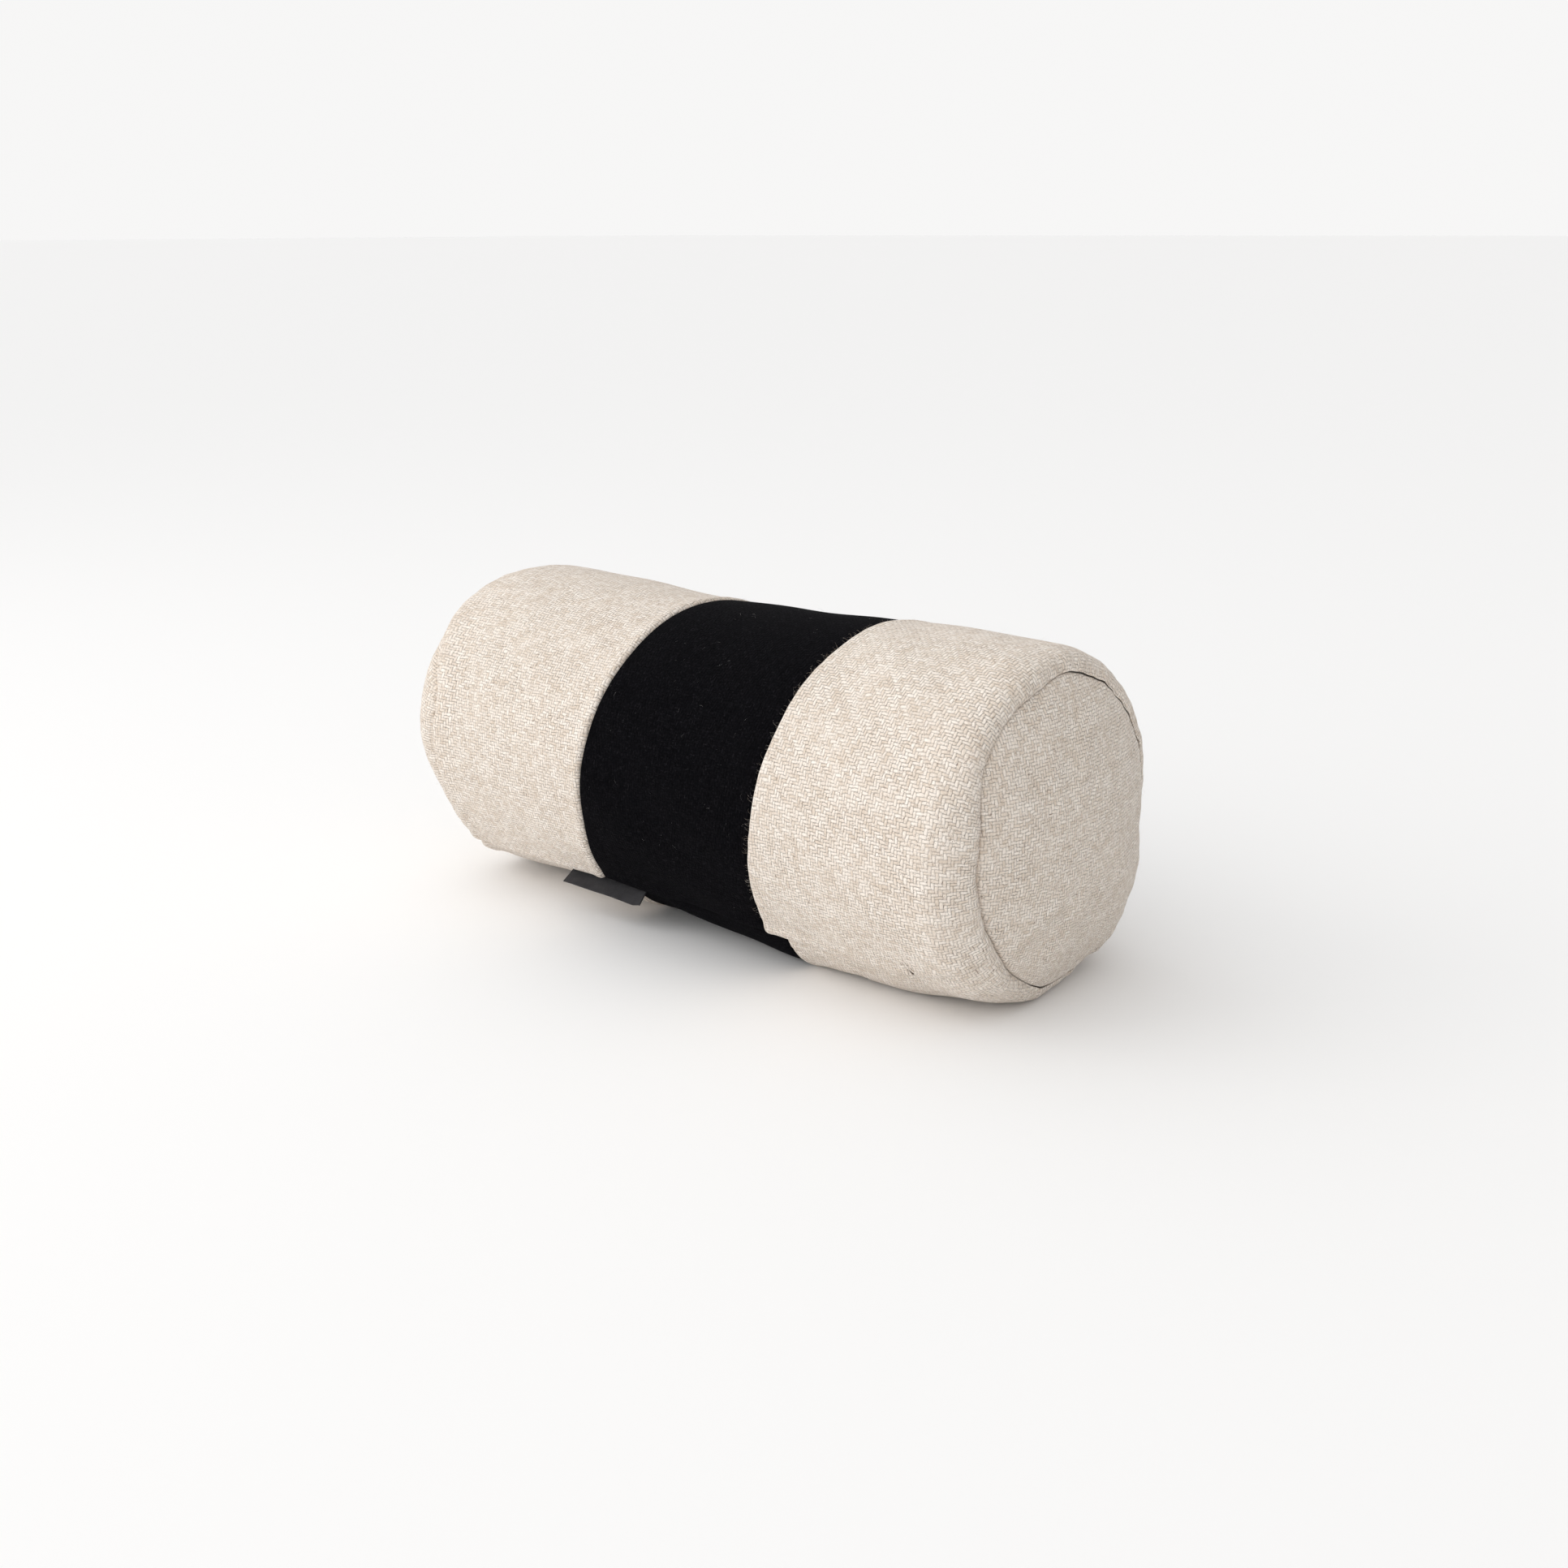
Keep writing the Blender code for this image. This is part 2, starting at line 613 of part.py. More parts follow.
def insert(materials):
    """The stuffed inner cushion: a cotton tube with two ends round a body of fibre."""
    cotton = materials["casing_cotton"]
    ends = shoulder(CASING_DEPTH, -1), shoulder(CASING_DEPTH, 1)
    wall = ends[0] + channel_stations(CASING_DEPTH) + ends[1]
    tube = turned("casing_tube", wall, CASING_DEPTH, channelled=True)
    solidify(tube, CASING_THICKNESS)
    finish(tube, cotton, 40)
    end_disc("casing_end_left", -1, CASING_DEPTH, CASING_THICKNESS, cotton)
    end_disc("casing_end_right", 1, CASING_DEPTH, CASING_THICKNESS, cotton)
    left = dome(FILL_DEPTH, -1) + shoulder(FILL_DEPTH, -1)
    right = shoulder(FILL_DEPTH, 1) + dome(FILL_DEPTH, 1)
    body = left + channel_stations(FILL_DEPTH) + right
    fill = turned("fibre_fill", body, FILL_DEPTH, channelled=True)
    finish(fill, materials["fill_fibre"], 40)


def build():
    clear_scene()
    materials = make_materials()
    frame = zip_frame()
    bpy.context.view_layer.update()
    cover_panels(materials, frame)
    end_disc("left_end_disc", -1, 0.0, COVER_THICKNESS, materials["cream_wool"])
    end_disc("right_end_disc", 1, 0.0, COVER_THICKNESS, materials["cream_wool"])
    lap(materials, frame)
    labels(materials, frame)
    tapes_and_teeth(materials, frame)
    slider(materials, frame)
    insert(materials)
    bpy.context.view_layer.update()


build()
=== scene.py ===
# %% [markdown]
# # A wool bolster pillow with a black band
#
# A bolster is a stuffed roll. Its cover is thick, felted wool: two cream panels with a
# black band between them, and a cream disc sewn into each end. Low on the front a lap
# of the same cloth hides the zip, and a small black tab is caught under the lap.
# This file dresses a finished mechanical model of that pillow. The hard pieces, which
# are the teeth, the slider and its pull, keep their shapes. The soft ones are made again.

# %% Load the frame
import math

import bpy
import numpy as np
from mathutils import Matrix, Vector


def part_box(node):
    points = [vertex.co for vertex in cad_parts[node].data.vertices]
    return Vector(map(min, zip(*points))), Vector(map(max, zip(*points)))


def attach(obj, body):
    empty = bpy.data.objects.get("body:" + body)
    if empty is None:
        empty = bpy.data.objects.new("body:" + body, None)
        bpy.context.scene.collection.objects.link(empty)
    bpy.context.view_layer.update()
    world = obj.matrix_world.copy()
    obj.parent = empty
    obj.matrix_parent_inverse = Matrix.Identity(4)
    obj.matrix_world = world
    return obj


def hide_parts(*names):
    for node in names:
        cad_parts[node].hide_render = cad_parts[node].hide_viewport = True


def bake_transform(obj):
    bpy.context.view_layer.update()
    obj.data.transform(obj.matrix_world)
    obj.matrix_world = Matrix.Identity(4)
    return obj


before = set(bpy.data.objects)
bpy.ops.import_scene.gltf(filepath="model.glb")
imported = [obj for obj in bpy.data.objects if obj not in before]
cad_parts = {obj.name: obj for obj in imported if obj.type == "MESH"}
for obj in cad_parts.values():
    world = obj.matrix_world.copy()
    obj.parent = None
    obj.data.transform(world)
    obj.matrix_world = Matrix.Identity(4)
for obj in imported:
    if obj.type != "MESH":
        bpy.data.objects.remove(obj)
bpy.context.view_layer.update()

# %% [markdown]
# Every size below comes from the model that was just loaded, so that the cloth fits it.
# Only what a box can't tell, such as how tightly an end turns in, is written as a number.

band_low, band_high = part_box("centre_band")
RADIUS = (band_high.y - band_low.y) / 2
AXIS = band_high.z - RADIUS
POLE_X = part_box("right_end_disc")[1].x
SEAM_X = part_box("right_panel")[1].x
SHOULDER = 0.0195
SHOULDER_TURN = math.radians(72.5)
STRAIGHT = SEAM_X - SHOULDER * math.sin(SHOULDER_TURN)
SEAM_RADIUS = RADIUS - SHOULDER * (1 - math.cos(SHOULDER_TURN))
SEAM_T = STRAIGHT + SHOULDER * SHOULDER_TURN
DOME_TURN = math.radians(25.5)
DOME_SPHERE = SEAM_RADIUS / math.sin(DOME_TURN)
POLE_T = SEAM_T + DOME_SPHERE * DOME_TURN
ZIP_ANGLE = math.radians(39.0)
BAND_HALF = 0.059
BAND_DRIFT = 0.026
UNDER_STEP = 0.009
print(f"radius {RADIUS * 1000:.1f} mm, axis {AXIS * 1000:.1f} mm up, seam at {SEAM_X * 1000:.1f} mm")

# %% [markdown]
# ## The camera
#
# The pillow is seen from the front right and a little from above, so that the right end
# shows as well as the front. The camera comes first, because every later choice is
# judged through it. A target point and three angles are easier to read than a matrix.

# %% Set up the camera
VIEW_AZIMUTH, VIEW_ELEVATION, VIEW_ROLL = (math.radians(a) for a in (41.11, 16.52, 0.19))
VIEW_DISTANCE = 1.0111


def aim_camera(target, azimuth, elevation, roll, distance, lens):
    back = np.array(
        (
            math.sin(azimuth) * math.cos(elevation),
            -math.cos(azimuth) * math.cos(elevation),
            math.sin(elevation),
        )
    )
    bpy.ops.object.camera_add(location=tuple(np.array(target) + back * distance))
    camera = bpy.context.object
    camera.rotation_euler = (math.pi / 2 - elevation, roll, azimuth)
    camera.data.lens = lens
    camera.data.sensor_width = 36.0
    camera.data.clip_start = 0.01
    bpy.context.scene.camera = camera
    return camera


camera = aim_camera(
    (0.016, 0, AXIS - 0.0075), VIEW_AZIMUTH, VIEW_ELEVATION, VIEW_ROLL, VIEW_DISTANCE, 43.18
)
print("camera at", [round(v, 3) for v in camera.location])

# %% [markdown]
# ## The form under the cloth
#
# Wherever a thread lies on the pillow, two numbers say where: how far it is along the
# outline from the middle, over the shoulder and up the end, and its angle round the
# roll. Cloth is cut flat and doesn't stretch much, so lengths along the cloth are the
# natural way to place seams, yarns and folds. `form` turns the two numbers into a point.


# %% Describe the outline
def outline(t):
    """Distance along the axis and from it, for a distance t along the outline."""
    a = np.abs(t)
    turned = np.clip((a - STRAIGHT) / SHOULDER, 0, SHOULDER_TURN)
    x = np.minimum(a, STRAIGHT) + SHOULDER * np.sin(turned)
    r = RADIUS - SHOULDER * (1 - np.cos(turned))
    left = np.clip(DOME_TURN - (a - SEAM_T) / DOME_SPHERE, 0, DOME_TURN)
    on_end = a > SEAM_T
    x = np.where(on_end, SEAM_X + DOME_SPHERE * (np.cos(left) - math.cos(DOME_TURN)), x)
    r = np.where(on_end, DOME_SPHERE * np.sin(left), r)
    waist = 0.0021 * np.exp(-(((t - 0.012) / 0.066) ** 2))
    fuller = 0.0009 * np.exp(-(((a - 0.142) / 0.030) ** 2))
    return np.sign(t) * x, r - waist + fuller


def smooth_step(v):
    v = np.clip(v, 0, 1)
    return v * v * (3 - 2 * v)


def around(phi, centre, width):
    """1 near one angle round the roll, in degrees, and 0 far from it, with a flat top."""
    away = (np.degrees(phi) - centre + 180) % 360 - 180
    return np.exp(-((away / width) ** 4))


def fullness(t, phi):
    """How much fuller the roll is than its outline. Below 0 it is thinner.

    It sags on its front underside, bulges at the lower back of the right end, rests with
    both lower ends lifted, and is dipped and swollen along the top.
    """
    settled = 0.0064 * around(phi, 70, 24) * np.exp(-(((t - 0.065) / 0.075) ** 2))
    corner = 0.0108 * around(phi, 143, 21) * smooth_step((t - 0.11) / 0.07)
    left_lift, right_lift = 0.0050 * smooth_step((-t - 0.045) / 0.06), 0.0034 * smooth_step((t - 0.13) / 0.04)
    lifted = around(phi, 81, 28) * (left_lift + right_lift)
    top = around(phi, -80, 55)
    dip = 0.0022 * top * np.exp(-(((t + 0.055) / 0.045) ** 2))
    swell = 0.0018 * top * np.exp(-(((t - 0.11) / 0.06) ** 2))
    return settled + corner + swell - lifted - dip


def pushed_out(t, phi):
    """How far an end is pushed along the axis: its face isn't quite square to the roll."""
    left_end, right_end = smooth_step((-t - 0.150) / 0.035), smooth_step((t - 0.150) / 0.035)
    left = 0.0055 * around(phi, 31, 22) - 0.0090 * around(phi, -37, 50)
    return left * left_end + 0.0030 * right_end


def form(t, theta):
    """A point on the tight form. theta runs from the zip up the front and over the top."""
    x, r = outline(t)
    phi = ZIP_ANGLE - theta
    share = (r / RADIUS) ** 2
    x = x + pushed_out(t, phi) * share
    r = r + fullness(t, phi) * share
    y = -r * np.cos(phi)
    z = AXIS - r * np.sin(phi)
    soft = 0.0016
    z = (z + np.sqrt(z * z + soft * soft)) / 2
    return np.stack([x, y, z], -1)


# %% [markdown]
# The seams aren't plain circles. The black band leans over by 26 mm round the back,
# because the cover was pulled on slightly twisted, and each end seam has slipped along
# the outline: at the left end it sits on the outer edge of the roll, and at the right
# end the front of it has been pushed in over the disc. `seam_lines` gives them all.


# %% Place the seams
def seam_lines(theta, under_step=0.0):
    """Where the left pole, the four seams and the right pole lie along the outline."""
    theta = np.asarray(theta, float) % math.tau
    phi = ZIP_ANGLE - theta
    lean = BAND_DRIFT * np.sin(theta / 2) + under_step * (theta / math.tau) ** 7
    wobble = 0.0007 * np.sin(7 * theta + 1.0) + 0.0005 * np.sin(12 * theta + 2.4)
    left = -SEAM_T + 0.004 + 0.0215 * around(phi, 8, 56) + wobble
    band_left = lean - BAND_HALF - 0.0035 * around(phi, -60, 62)
    right = SEAM_T - 0.0035 + 0.0115 * around(phi, 20, 50) - 0.0085 * around(phi, 140, 55) + wobble
    ends = np.full_like(theta, POLE_T)
    return np.stack([-ends, left, band_left, lean + BAND_HALF, right, ends], -1)


def along_at(station, theta, under_step=0.0):
    """Distance along the outline at a station, where whole numbers 0 to 5 are the lines."""
    lines = seam_lines(theta, under_step)
    station = np.clip(station, 0, 5)
    low = np.minimum(station.astype(int), 4)
    first = np.take_along_axis(lines, low[..., None], -1)[..., 0]
    second = np.take_along_axis(lines, low[..., None] + 1, -1)[..., 0]
    return first + (second - first) * (station - low)


def station_at(t, theta):
    """The station of a point, the opposite of along_at."""
    lines = seam_lines(theta)
    t = np.clip(t, -POLE_T, POLE_T)
    low = np.clip((t[..., None] >= lines).sum(-1) - 1, 0, 4)
    first = np.take_along_axis(lines, low[..., None], -1)[..., 0]
    second = np.take_along_axis(lines, low[..., None] + 1, -1)[..., 0]
    return low + (t - first) / (second - first)


print("seams at the front, mm:", np.round(seam_lines(ZIP_ANGLE) * 1000, 1))

# %% [markdown]
# ## Filling the cover
#
# A stuffed cover isn't a perfect tube: the filling presses out between the seams and the
# cloth gives unevenly. A cloth simulation finds that shape. It starts from a ball, since
# a ball already has rings and two closed poles, pulled out to the bolster's outline.
# The seams hold still, some patches are given a little slack, and pressure does the rest.

# %% Pull a ball out to the bolster
SIM_AROUND = 96
RINGS_BETWEEN = (13, 22, 20, 22, 13)
stations = np.concatenate(
    [np.arange(count) / count + k for k, count in enumerate(RINGS_BETWEEN)] + [[5.0]]
)
SIM_RINGS = len(stations) - 1


def deselect():
    if bpy.context.object and bpy.context.object.mode != "OBJECT":
        bpy.ops.object.mode_set(mode="OBJECT")
    bpy.ops.object.select_all(action="DESELECT")


def points_of(obj):
    co = np.empty(len(obj.data.vertices) * 3, np.float32)
    obj.data.vertices.foreach_get("co", co)
    return co.reshape(-1, 3).astype(float)


def set_points(obj, points):
    obj.data.vertices.foreach_set("co", np.asarray(points, np.float32).ravel())
    obj.data.update()


def apply_placing():
    bpy.ops.object.transform_apply(location=True, rotation=True, scale=True)


deselect()
bpy.ops.mesh.primitive_uv_sphere_add(
    segments=SIM_AROUND, ring_count=SIM_RINGS, radius=1.0, rotation=(0, math.pi / 2, 0)
)
stuffed = bpy.context.object
stuffed.name = "stuffed_form"
apply_placing()
ball = points_of(stuffed)
ring = np.rint(np.arccos(np.clip(-ball[:, 0], -1, 1)) / math.pi * SIM_RINGS).astype(int)
ball_phi = np.arctan2(-ball[:, 2], -ball[:, 1])
theta = (ZIP_ANGLE - ball_phi) % math.tau
STEP = math.tau / SIM_AROUND
FIRST = ZIP_ANGLE % STEP
column = np.rint((theta - FIRST) / STEP).astype(int) % SIM_AROUND
theta = FIRST + column * STEP
at_rest = form(along_at(stations[ring], theta), theta)
pole = (ring == 0) | (ring == SIM_RINGS)
at_rest[pole] = (0, 0, AXIS)
at_rest[pole, 0] = np.sign(ball[pole, 0]) * POLE_X
set_points(stuffed, at_rest)
print(f"{len(at_rest)} points in {SIM_RINGS + 1} rings")

# %% [markdown]
# Gravity is off, because the stuffing and not the weight of the cloth makes the shape.
# A point's weight in the group `sewn` is how firmly it is held. `slack` says where the
# cloth was cut a little large, and smooth waves choose the patches, so every run agrees.

# %% Let the filling press it out
LARGEST_MOVE = 0.0045
PRESSED_STEPS = 20
PRESSING = dict(
    quality=6, mass=0.4, tension_stiffness=12, compression_stiffness=12, shear_stiffness=6,
    bending_stiffness=1.5, use_pressure=True, uniform_pressure_force=4, vertex_group_mass="sewn",
    pin_stiffness=0.6, vertex_group_shrink="slack", shrink_min=0.0, shrink_max=-0.06,
)


def waves(t, theta, seed, length, times):
    """Smooth unevenness, about -1 to 1, that meets itself round the roll."""
    draw = np.random.default_rng(seed)
    total = np.zeros(np.broadcast(t, theta).shape)
    for _ in range(times):
        round_count = draw.integers(1, max(2, int(math.tau * RADIUS / length)) + 1)
        pitch = length * draw.uniform(0.8, 2.2)
        total = total + np.cos(round_count * theta + math.tau * t / pitch + draw.uniform(0, math.tau))
    return total / math.sqrt(times)


def fill_with_pressure(obj, sewn, slack):
    for name, weights in (("sewn", sewn), ("slack", slack)):
        group = obj.vertex_groups.new(name=name)
        for index, weight in enumerate(weights):
            group.add([index], float(weight), "REPLACE")
    bpy.context.view_layer.objects.active = obj
    bpy.ops.object.modifier_add(type="CLOTH")
    cloth = obj.modifiers[-1]
    for name, value in PRESSING.items():
        setattr(cloth.settings, name, value)
    cloth.settings.effector_weights.gravity = 0
    cloth.point_cache.frame_start = 1
    cloth.point_cache.frame_end = PRESSED_STEPS
    for step in range(1, PRESSED_STEPS + 1):
        bpy.context.scene.frame_set(step)
    bpy.ops.object.modifier_apply(modifier=cloth.name)
    bpy.context.scene.frame_set(1)


near_seam = np.abs(stations[ring] - np.rint(stations[ring])) < 0.02
t_rest = along_at(stations[ring], theta)
sewn = np.where(near_seam & ~pole, 0.9, 0.0)
slack = np.clip(0.5 + 0.5 * waves(t_rest, theta, 5, 0.075, 9), 0, 1)
fill_with_pressure(stuffed, sewn, slack)
moved = points_of(stuffed) - at_rest
size = np.linalg.norm(moved, axis=1)
moved *= np.minimum(1, LARGEST_MOVE / np.maximum(size, 1e-9))[:, None]
print(f"the cloth moved by up to {size.max() * 1000:.1f} mm, {size.mean() * 1000:.1f} mm on average")

# %% [markdown]
# The pieces of the cover need a finer mesh than the simulation, so the moves are kept as
# a table over the rings and columns, and read between its entries with a smooth curve.
# The stuffed form has then done its work and is removed. `skin` is what every piece
# below is laid on: a point of the stuffed surface, and the direction out of it.

# %% Read the stuffed surface anywhere
table = np.zeros((SIM_RINGS + 1, SIM_AROUND, 3))
table[ring, column] = moved
for end in (0, SIM_RINGS):
    table[end, :] = moved[ring == end].mean(0)
table -= np.array((0, 0, table[2:-2].mean((0, 1))[2]))
bpy.data.objects.remove(stuffed, do_unlink=True)


def curve_weights(f):
    """Weights of four neighbours for a smooth curve through the middle two."""
    return np.stack(
        [
            -0.5 * f + f**2 - 0.5 * f**3,
            1 - 2.5 * f**2 + 1.5 * f**3,
            0.5 * f + 2 * f**2 - 1.5 * f**3,
            -0.5 * f**2 + 0.5 * f**3,
        ],
        -1,
    )


def give(t, theta):
    """How far the stuffing has pressed the cloth out at a point."""
    ring_at = np.interp(station_at(t, theta), stations, np.arange(SIM_RINGS + 1))
    column_at = ((theta - FIRST) / STEP) % SIM_AROUND
    r0, c0 = np.floor(ring_at).astype(int), np.floor(column_at).astype(int)
    wr, wc = curve_weights(ring_at - r0), curve_weights(column_at - c0)
    total = np.zeros(np.shape(ring_at) + (3,))
    for i in range(4):
        rows = np.clip(r0 + i - 1, 0, SIM_RINGS)
        for j in range(4):
            share = (wr[..., i] * wc[..., j])[..., None]
            total += share * table[rows, (c0 + j - 1) % SIM_AROUND]
    return total


def stuffed_point(t, theta):
    t, theta = np.broadcast_arrays(np.asarray(t, float), np.asarray(theta, float))
    point = form(t, theta) + give(t, theta)
    point[..., 2] = np.maximum(point[..., 2], 0.0004)
    return point


def skin(t, theta, depth=0.0):
    """A point at a depth below the stuffed surface."""
    t, theta, depth = np.broadcast_arrays(t, theta, depth)
    small = 0.0012
    here = stuffed_point(t, theta)
    along = stuffed_point(t + small, theta) - stuffed_point(t - small, theta)
    turn = stuffed_point(t, theta + small / RADIUS) - stuffed_point(t, theta - small / RADIUS)
    out = np.cross(turn, along)
    out /= np.maximum(np.linalg.norm(out, axis=-1, keepdims=True), 1e-12)
    centre = np.stack([t * 0, t * 0, t * 0 + AXIS], -1)
    out *= np.sign(((here - centre) * out).sum(-1, keepdims=True))
    at_pole = (POLE_T - np.abs(t) < 0.004)[..., None]
    out = np.where(at_pole, np.sign(t)[..., None] * np.array((1.0, 0, 0)), out)
    point = here - out * depth[..., None]
    point[..., 2] = np.maximum(point[..., 2], 0.0003)
    return point


probe = skin(np.array([0.0]), np.array([math.pi]), np.array([0.0]))
print("top of the roll at", np.round(probe * 1000, 1))

# %% [markdown]
# ## How a sewn edge looks
#
# Thick wool can't end in a knife edge. Where two pieces are sewn together each one rolls
# over into the seam, and the seam thread pulls a narrow valley. `rolled_edge` gives the
# depth of that roll at a distance from the seam, as a quarter of an ellipse, which is
# what a bent thick cloth makes. Real displacement is used here, so that light catches it.


# %% Shape edges and creases
def rolled_edge(distance, width, drop):
    near = np.clip(1 - distance / width, 0, 1)
    return drop * (1 - np.sqrt(np.clip(1 - near**2, 0, 1)))


def bump_at(distance, place, width):
    return np.exp(-(((distance - place) / width) ** 2))


def cream_depth(t, theta, to_band, to_end):
    """How far the cream cloth lies below the stuffed form, less where it stands proud."""
    depth = rolled_edge(to_band, 0.0024, 0.0026) - 0.0007 * bump_at(to_band, 0.0035, 0.0030)
    tight = 0.30 + 0.70 * around(ZIP_ANGLE - theta, 22, 48)
    depth = depth + rolled_edge(to_end, 0.0052, 0.0044 * tight) - 0.0014 * bump_at(to_end, 0.0070, 0.0055)
    ripple = waves(t * 0, theta, 11, 0.012, 12)
    depth = depth + 0.00045 * ripple * np.exp(-to_end / 0.010)
    depth = depth + 0.00012 * waves(t * 0, theta, 12, 0.008, 12) * np.exp(-to_band / 0.006)
    return depth + 0.00035 * waves(t, theta, 13, 0.045, 10)


def black_depth(t, theta, to_left, to_right):
    near = np.minimum(to_left, to_right)
    depth = rolled_edge(near, 0.0018, 0.0022) + 0.0006 * np.exp(-near / 0.007)
    return depth + 0.00035 * waves(t, theta, 13, 0.045, 10)


def disc_depth(t, theta, to_seam):
    tight = 0.35 + 0.65 * around(ZIP_ANGLE - theta, 22, 48)
    depth = rolled_edge(to_seam, 0.0030, 0.0026 * tight) + 0.0023 * tight**0.5 * np.exp(-to_seam / 0.0080)
    ripple = waves(t * 0, theta, 11, 0.012, 12)
    depth = depth + 0.00030 * ripple * np.exp(-to_seam / 0.012)
    away = np.clip(to_seam / 0.02, 0, 1) * smooth_step((POLE_T - np.abs(t)) / 0.045)
    return depth + 0.0004 * waves(t, theta, 14, 0.050, 8) * away


# %% [markdown]
# ## The panels
#
# A panel of the cover is a flat piece of cloth that starts at the zip, goes once round
# the roll and comes back to the zip. So it starts here as a flat grid too, and its
# points are laid on the skin. Beside the zip both edges turn in and lie on the zip's
# tape. Past the ends of the zip the edges are sewn together, and that seam climbs from
# the lap's edge to the zip's line. Two lists of columns describe the two cases, and each
# row of the grid mixes them by where it is. A solidify modifier then gives the cloth its
# thickness, inwards, and closes its edges.

# %% List the columns beside the zip
CLOTH = 0.0022
OPEN_HALF = 0.1500
SEWN_RUN = 0.027
LAP_EDGE = 0.0095
LAP_THICK = 0.0046
UPPER_OPEN = [
    (5.9, 7.1), (8.2, 7.1), (9.4, 6.7), (10.0, 5.2), (10.2, 3.4), (10.6, 1.8), (11.4, 0.8), (12.6, 0.35),
    (14.2, 0.0),
]
UPPER_SEWN = [
    (-0.12, 3.6), (0.04, 2.9), (0.45, 2.1), (0.9, 1.4), (1.6, 0.7), (2.6, 0.1), (4.0, -0.45), (6.0, -0.5),
    (8.5, -0.15),
]
LOWER_OPEN = [
    (5.9, 7.1), (8.6, 7.1), (10.9, 6.9), (12.0, 6.2), (12.5, 5.2), (13.1, 4.3), (14.2, 3.6), (15.8, 3.1),
    (18.0, 2.5),
]
LOWER_SNUG = [
    (5.9, 7.1), (8.0, 7.0), (9.6, 6.0), (10.0, 5.0), (10.3, 4.2), (10.8, 3.4), (11.8, 2.7), (13.6, 2.1),
    (17.0, 1.5),
]
LOWER_SEWN = [
    (-0.12, 4.2), (0.04, 3.5), (0.45, 2.9), (0.9, 2.5), (1.6, 2.2), (2.8, 2.0), (4.6, 1.7), (7.0, 1.3),
    (10.0, 0.85),
]
REGULAR = 250
MM = 0.001
BESIDE_SEAM = np.array((0, 0.3, 0.7, 1.2, 1.8, 2.6, 3.6, 4.9, 6.4)) * MM
FIRST_REGULAR = 8.2 * MM


def crease_line(t):
    """How far below the zip's line the sewn crease runs, past the end of the lap."""
    return LAP_EDGE * (1 - smooth_step((np.abs(t) - OPEN_HALF) / SEWN_RUN))


def columns_at(t_up, t_down, only_open=False):
    """The angle and depth of a panel's columns, for rows that begin and end at given places."""
    place_down = t_down[:, None]
    t_up, t_down = np.abs(t_up)[:, None], np.abs(t_down)[:, None]
    beyond = 0 * t_up if only_open else smooth_step((t_up - OPEN_HALF - 0.0002) / 0.0012)
    closed = 0 * t_up if only_open else smooth_step((t_down - OPEN_HALF + 0.0024) / 0.0022)
    flat_up = 1 - 0.40 * smooth_step((t_up - OPEN_HALF) / SEWN_RUN)
    flat_down = 1.30 - 0.80 * smooth_step((t_down - OPEN_HALF) / SEWN_RUN)
    upper_a, upper_b = np.array(UPPER_OPEN) * MM, np.array(UPPER_SEWN) * MM
    lower_a, lower_b = np.array(LOWER_OPEN) * MM, np.array(LOWER_SEWN) * MM
    up = upper_a[:, 0] + (upper_b[:, 0] - crease_line(t_up) - upper_a[:, 0]) * beyond
    risen = smooth_step((t_up - OPEN_HALF - 0.0012) / 0.010)
    proud = upper_b[:, 1] * risen + 0.0003 * (1 - risen)
    sewn_depth = np.where(upper_b[:, 1] < 0.0003, proud, upper_b[:, 1] * flat_up)
    up_depth = upper_a[:, 1] + (sewn_depth - upper_a[:, 1]) * beyond
    snug = np.array(LOWER_SNUG) * MM
    tab_room = smooth_step((place_down + 0.100) / 0.008) * smooth_step((-0.016 - place_down) / 0.008)
    open_at = snug[:, 0] + (lower_a[:, 0] - snug[:, 0]) * tab_room
    open_depth = snug[:, 1] + (lower_a[:, 1] - snug[:, 1]) * tab_room
    down = open_at + (lower_b[:, 0] + crease_line(t_down) - open_at) * closed
    down_depth = open_depth + (lower_b[:, 1] * flat_down - open_depth) * closed
    run = math.tau * RADIUS
    share = np.linspace(0, 1, REGULAR)[None]
    start, stop = up[:, -1:] + 0.002, run - down[:, -1:] - 0.002
    middle = start + (stop - start) * share
    fade_from = down_depth[:, -1:]
    middle_depth = fade_from * np.exp(-(stop - middle) / 0.0085)
    middle_depth = middle_depth + up_depth[:, -1:] * np.exp(-(middle - start) / 0.006)
    arc = np.concatenate([up, middle, (run - down)[:, ::-1]], 1)
    depth = np.concatenate([up_depth, middle_depth, down_depth[:, ::-1]], 1)
    return arc / RADIUS, depth


def rows_between(width, coarse):
    """Places of the rows across a panel, close together at its two seams."""
    inner = np.arange(FIRST_REGULAR, width - FIRST_REGULAR, coarse)
    return np.concatenate([BESIDE_SEAM, inner, width - BESIDE_SEAM[::-1]])


# %% [markdown]
# `cloth_grid` adds the flat grid, moves its points and stores where each thread lies on
# the flat cloth in the UV map, in metres. The weave is drawn from that map, so the yarns
# keep their size over the shoulder and run unbroken from a panel to its lap.


# %% Lay a flat grid of cloth
def cloth_grid(name, points, flat):
    """A grid primitive with as many points as the table, laid at its places."""
    rows, columns = points.shape[:2]
    deselect()
    bpy.ops.mesh.primitive_grid_add(x_subdivisions=columns - 1, y_subdivisions=rows - 1, size=1)
    obj = bpy.context.object
    obj.name = obj.data.name = name
    start = points_of(obj)
    j = np.rint((start[:, 0] + 0.5) * (columns - 1)).astype(int)
    i = np.rint((start[:, 1] + 0.5) * (rows - 1)).astype(int)
    set_points(obj, points[i, j])
    store_flat(obj, flat[i, j])
    return obj


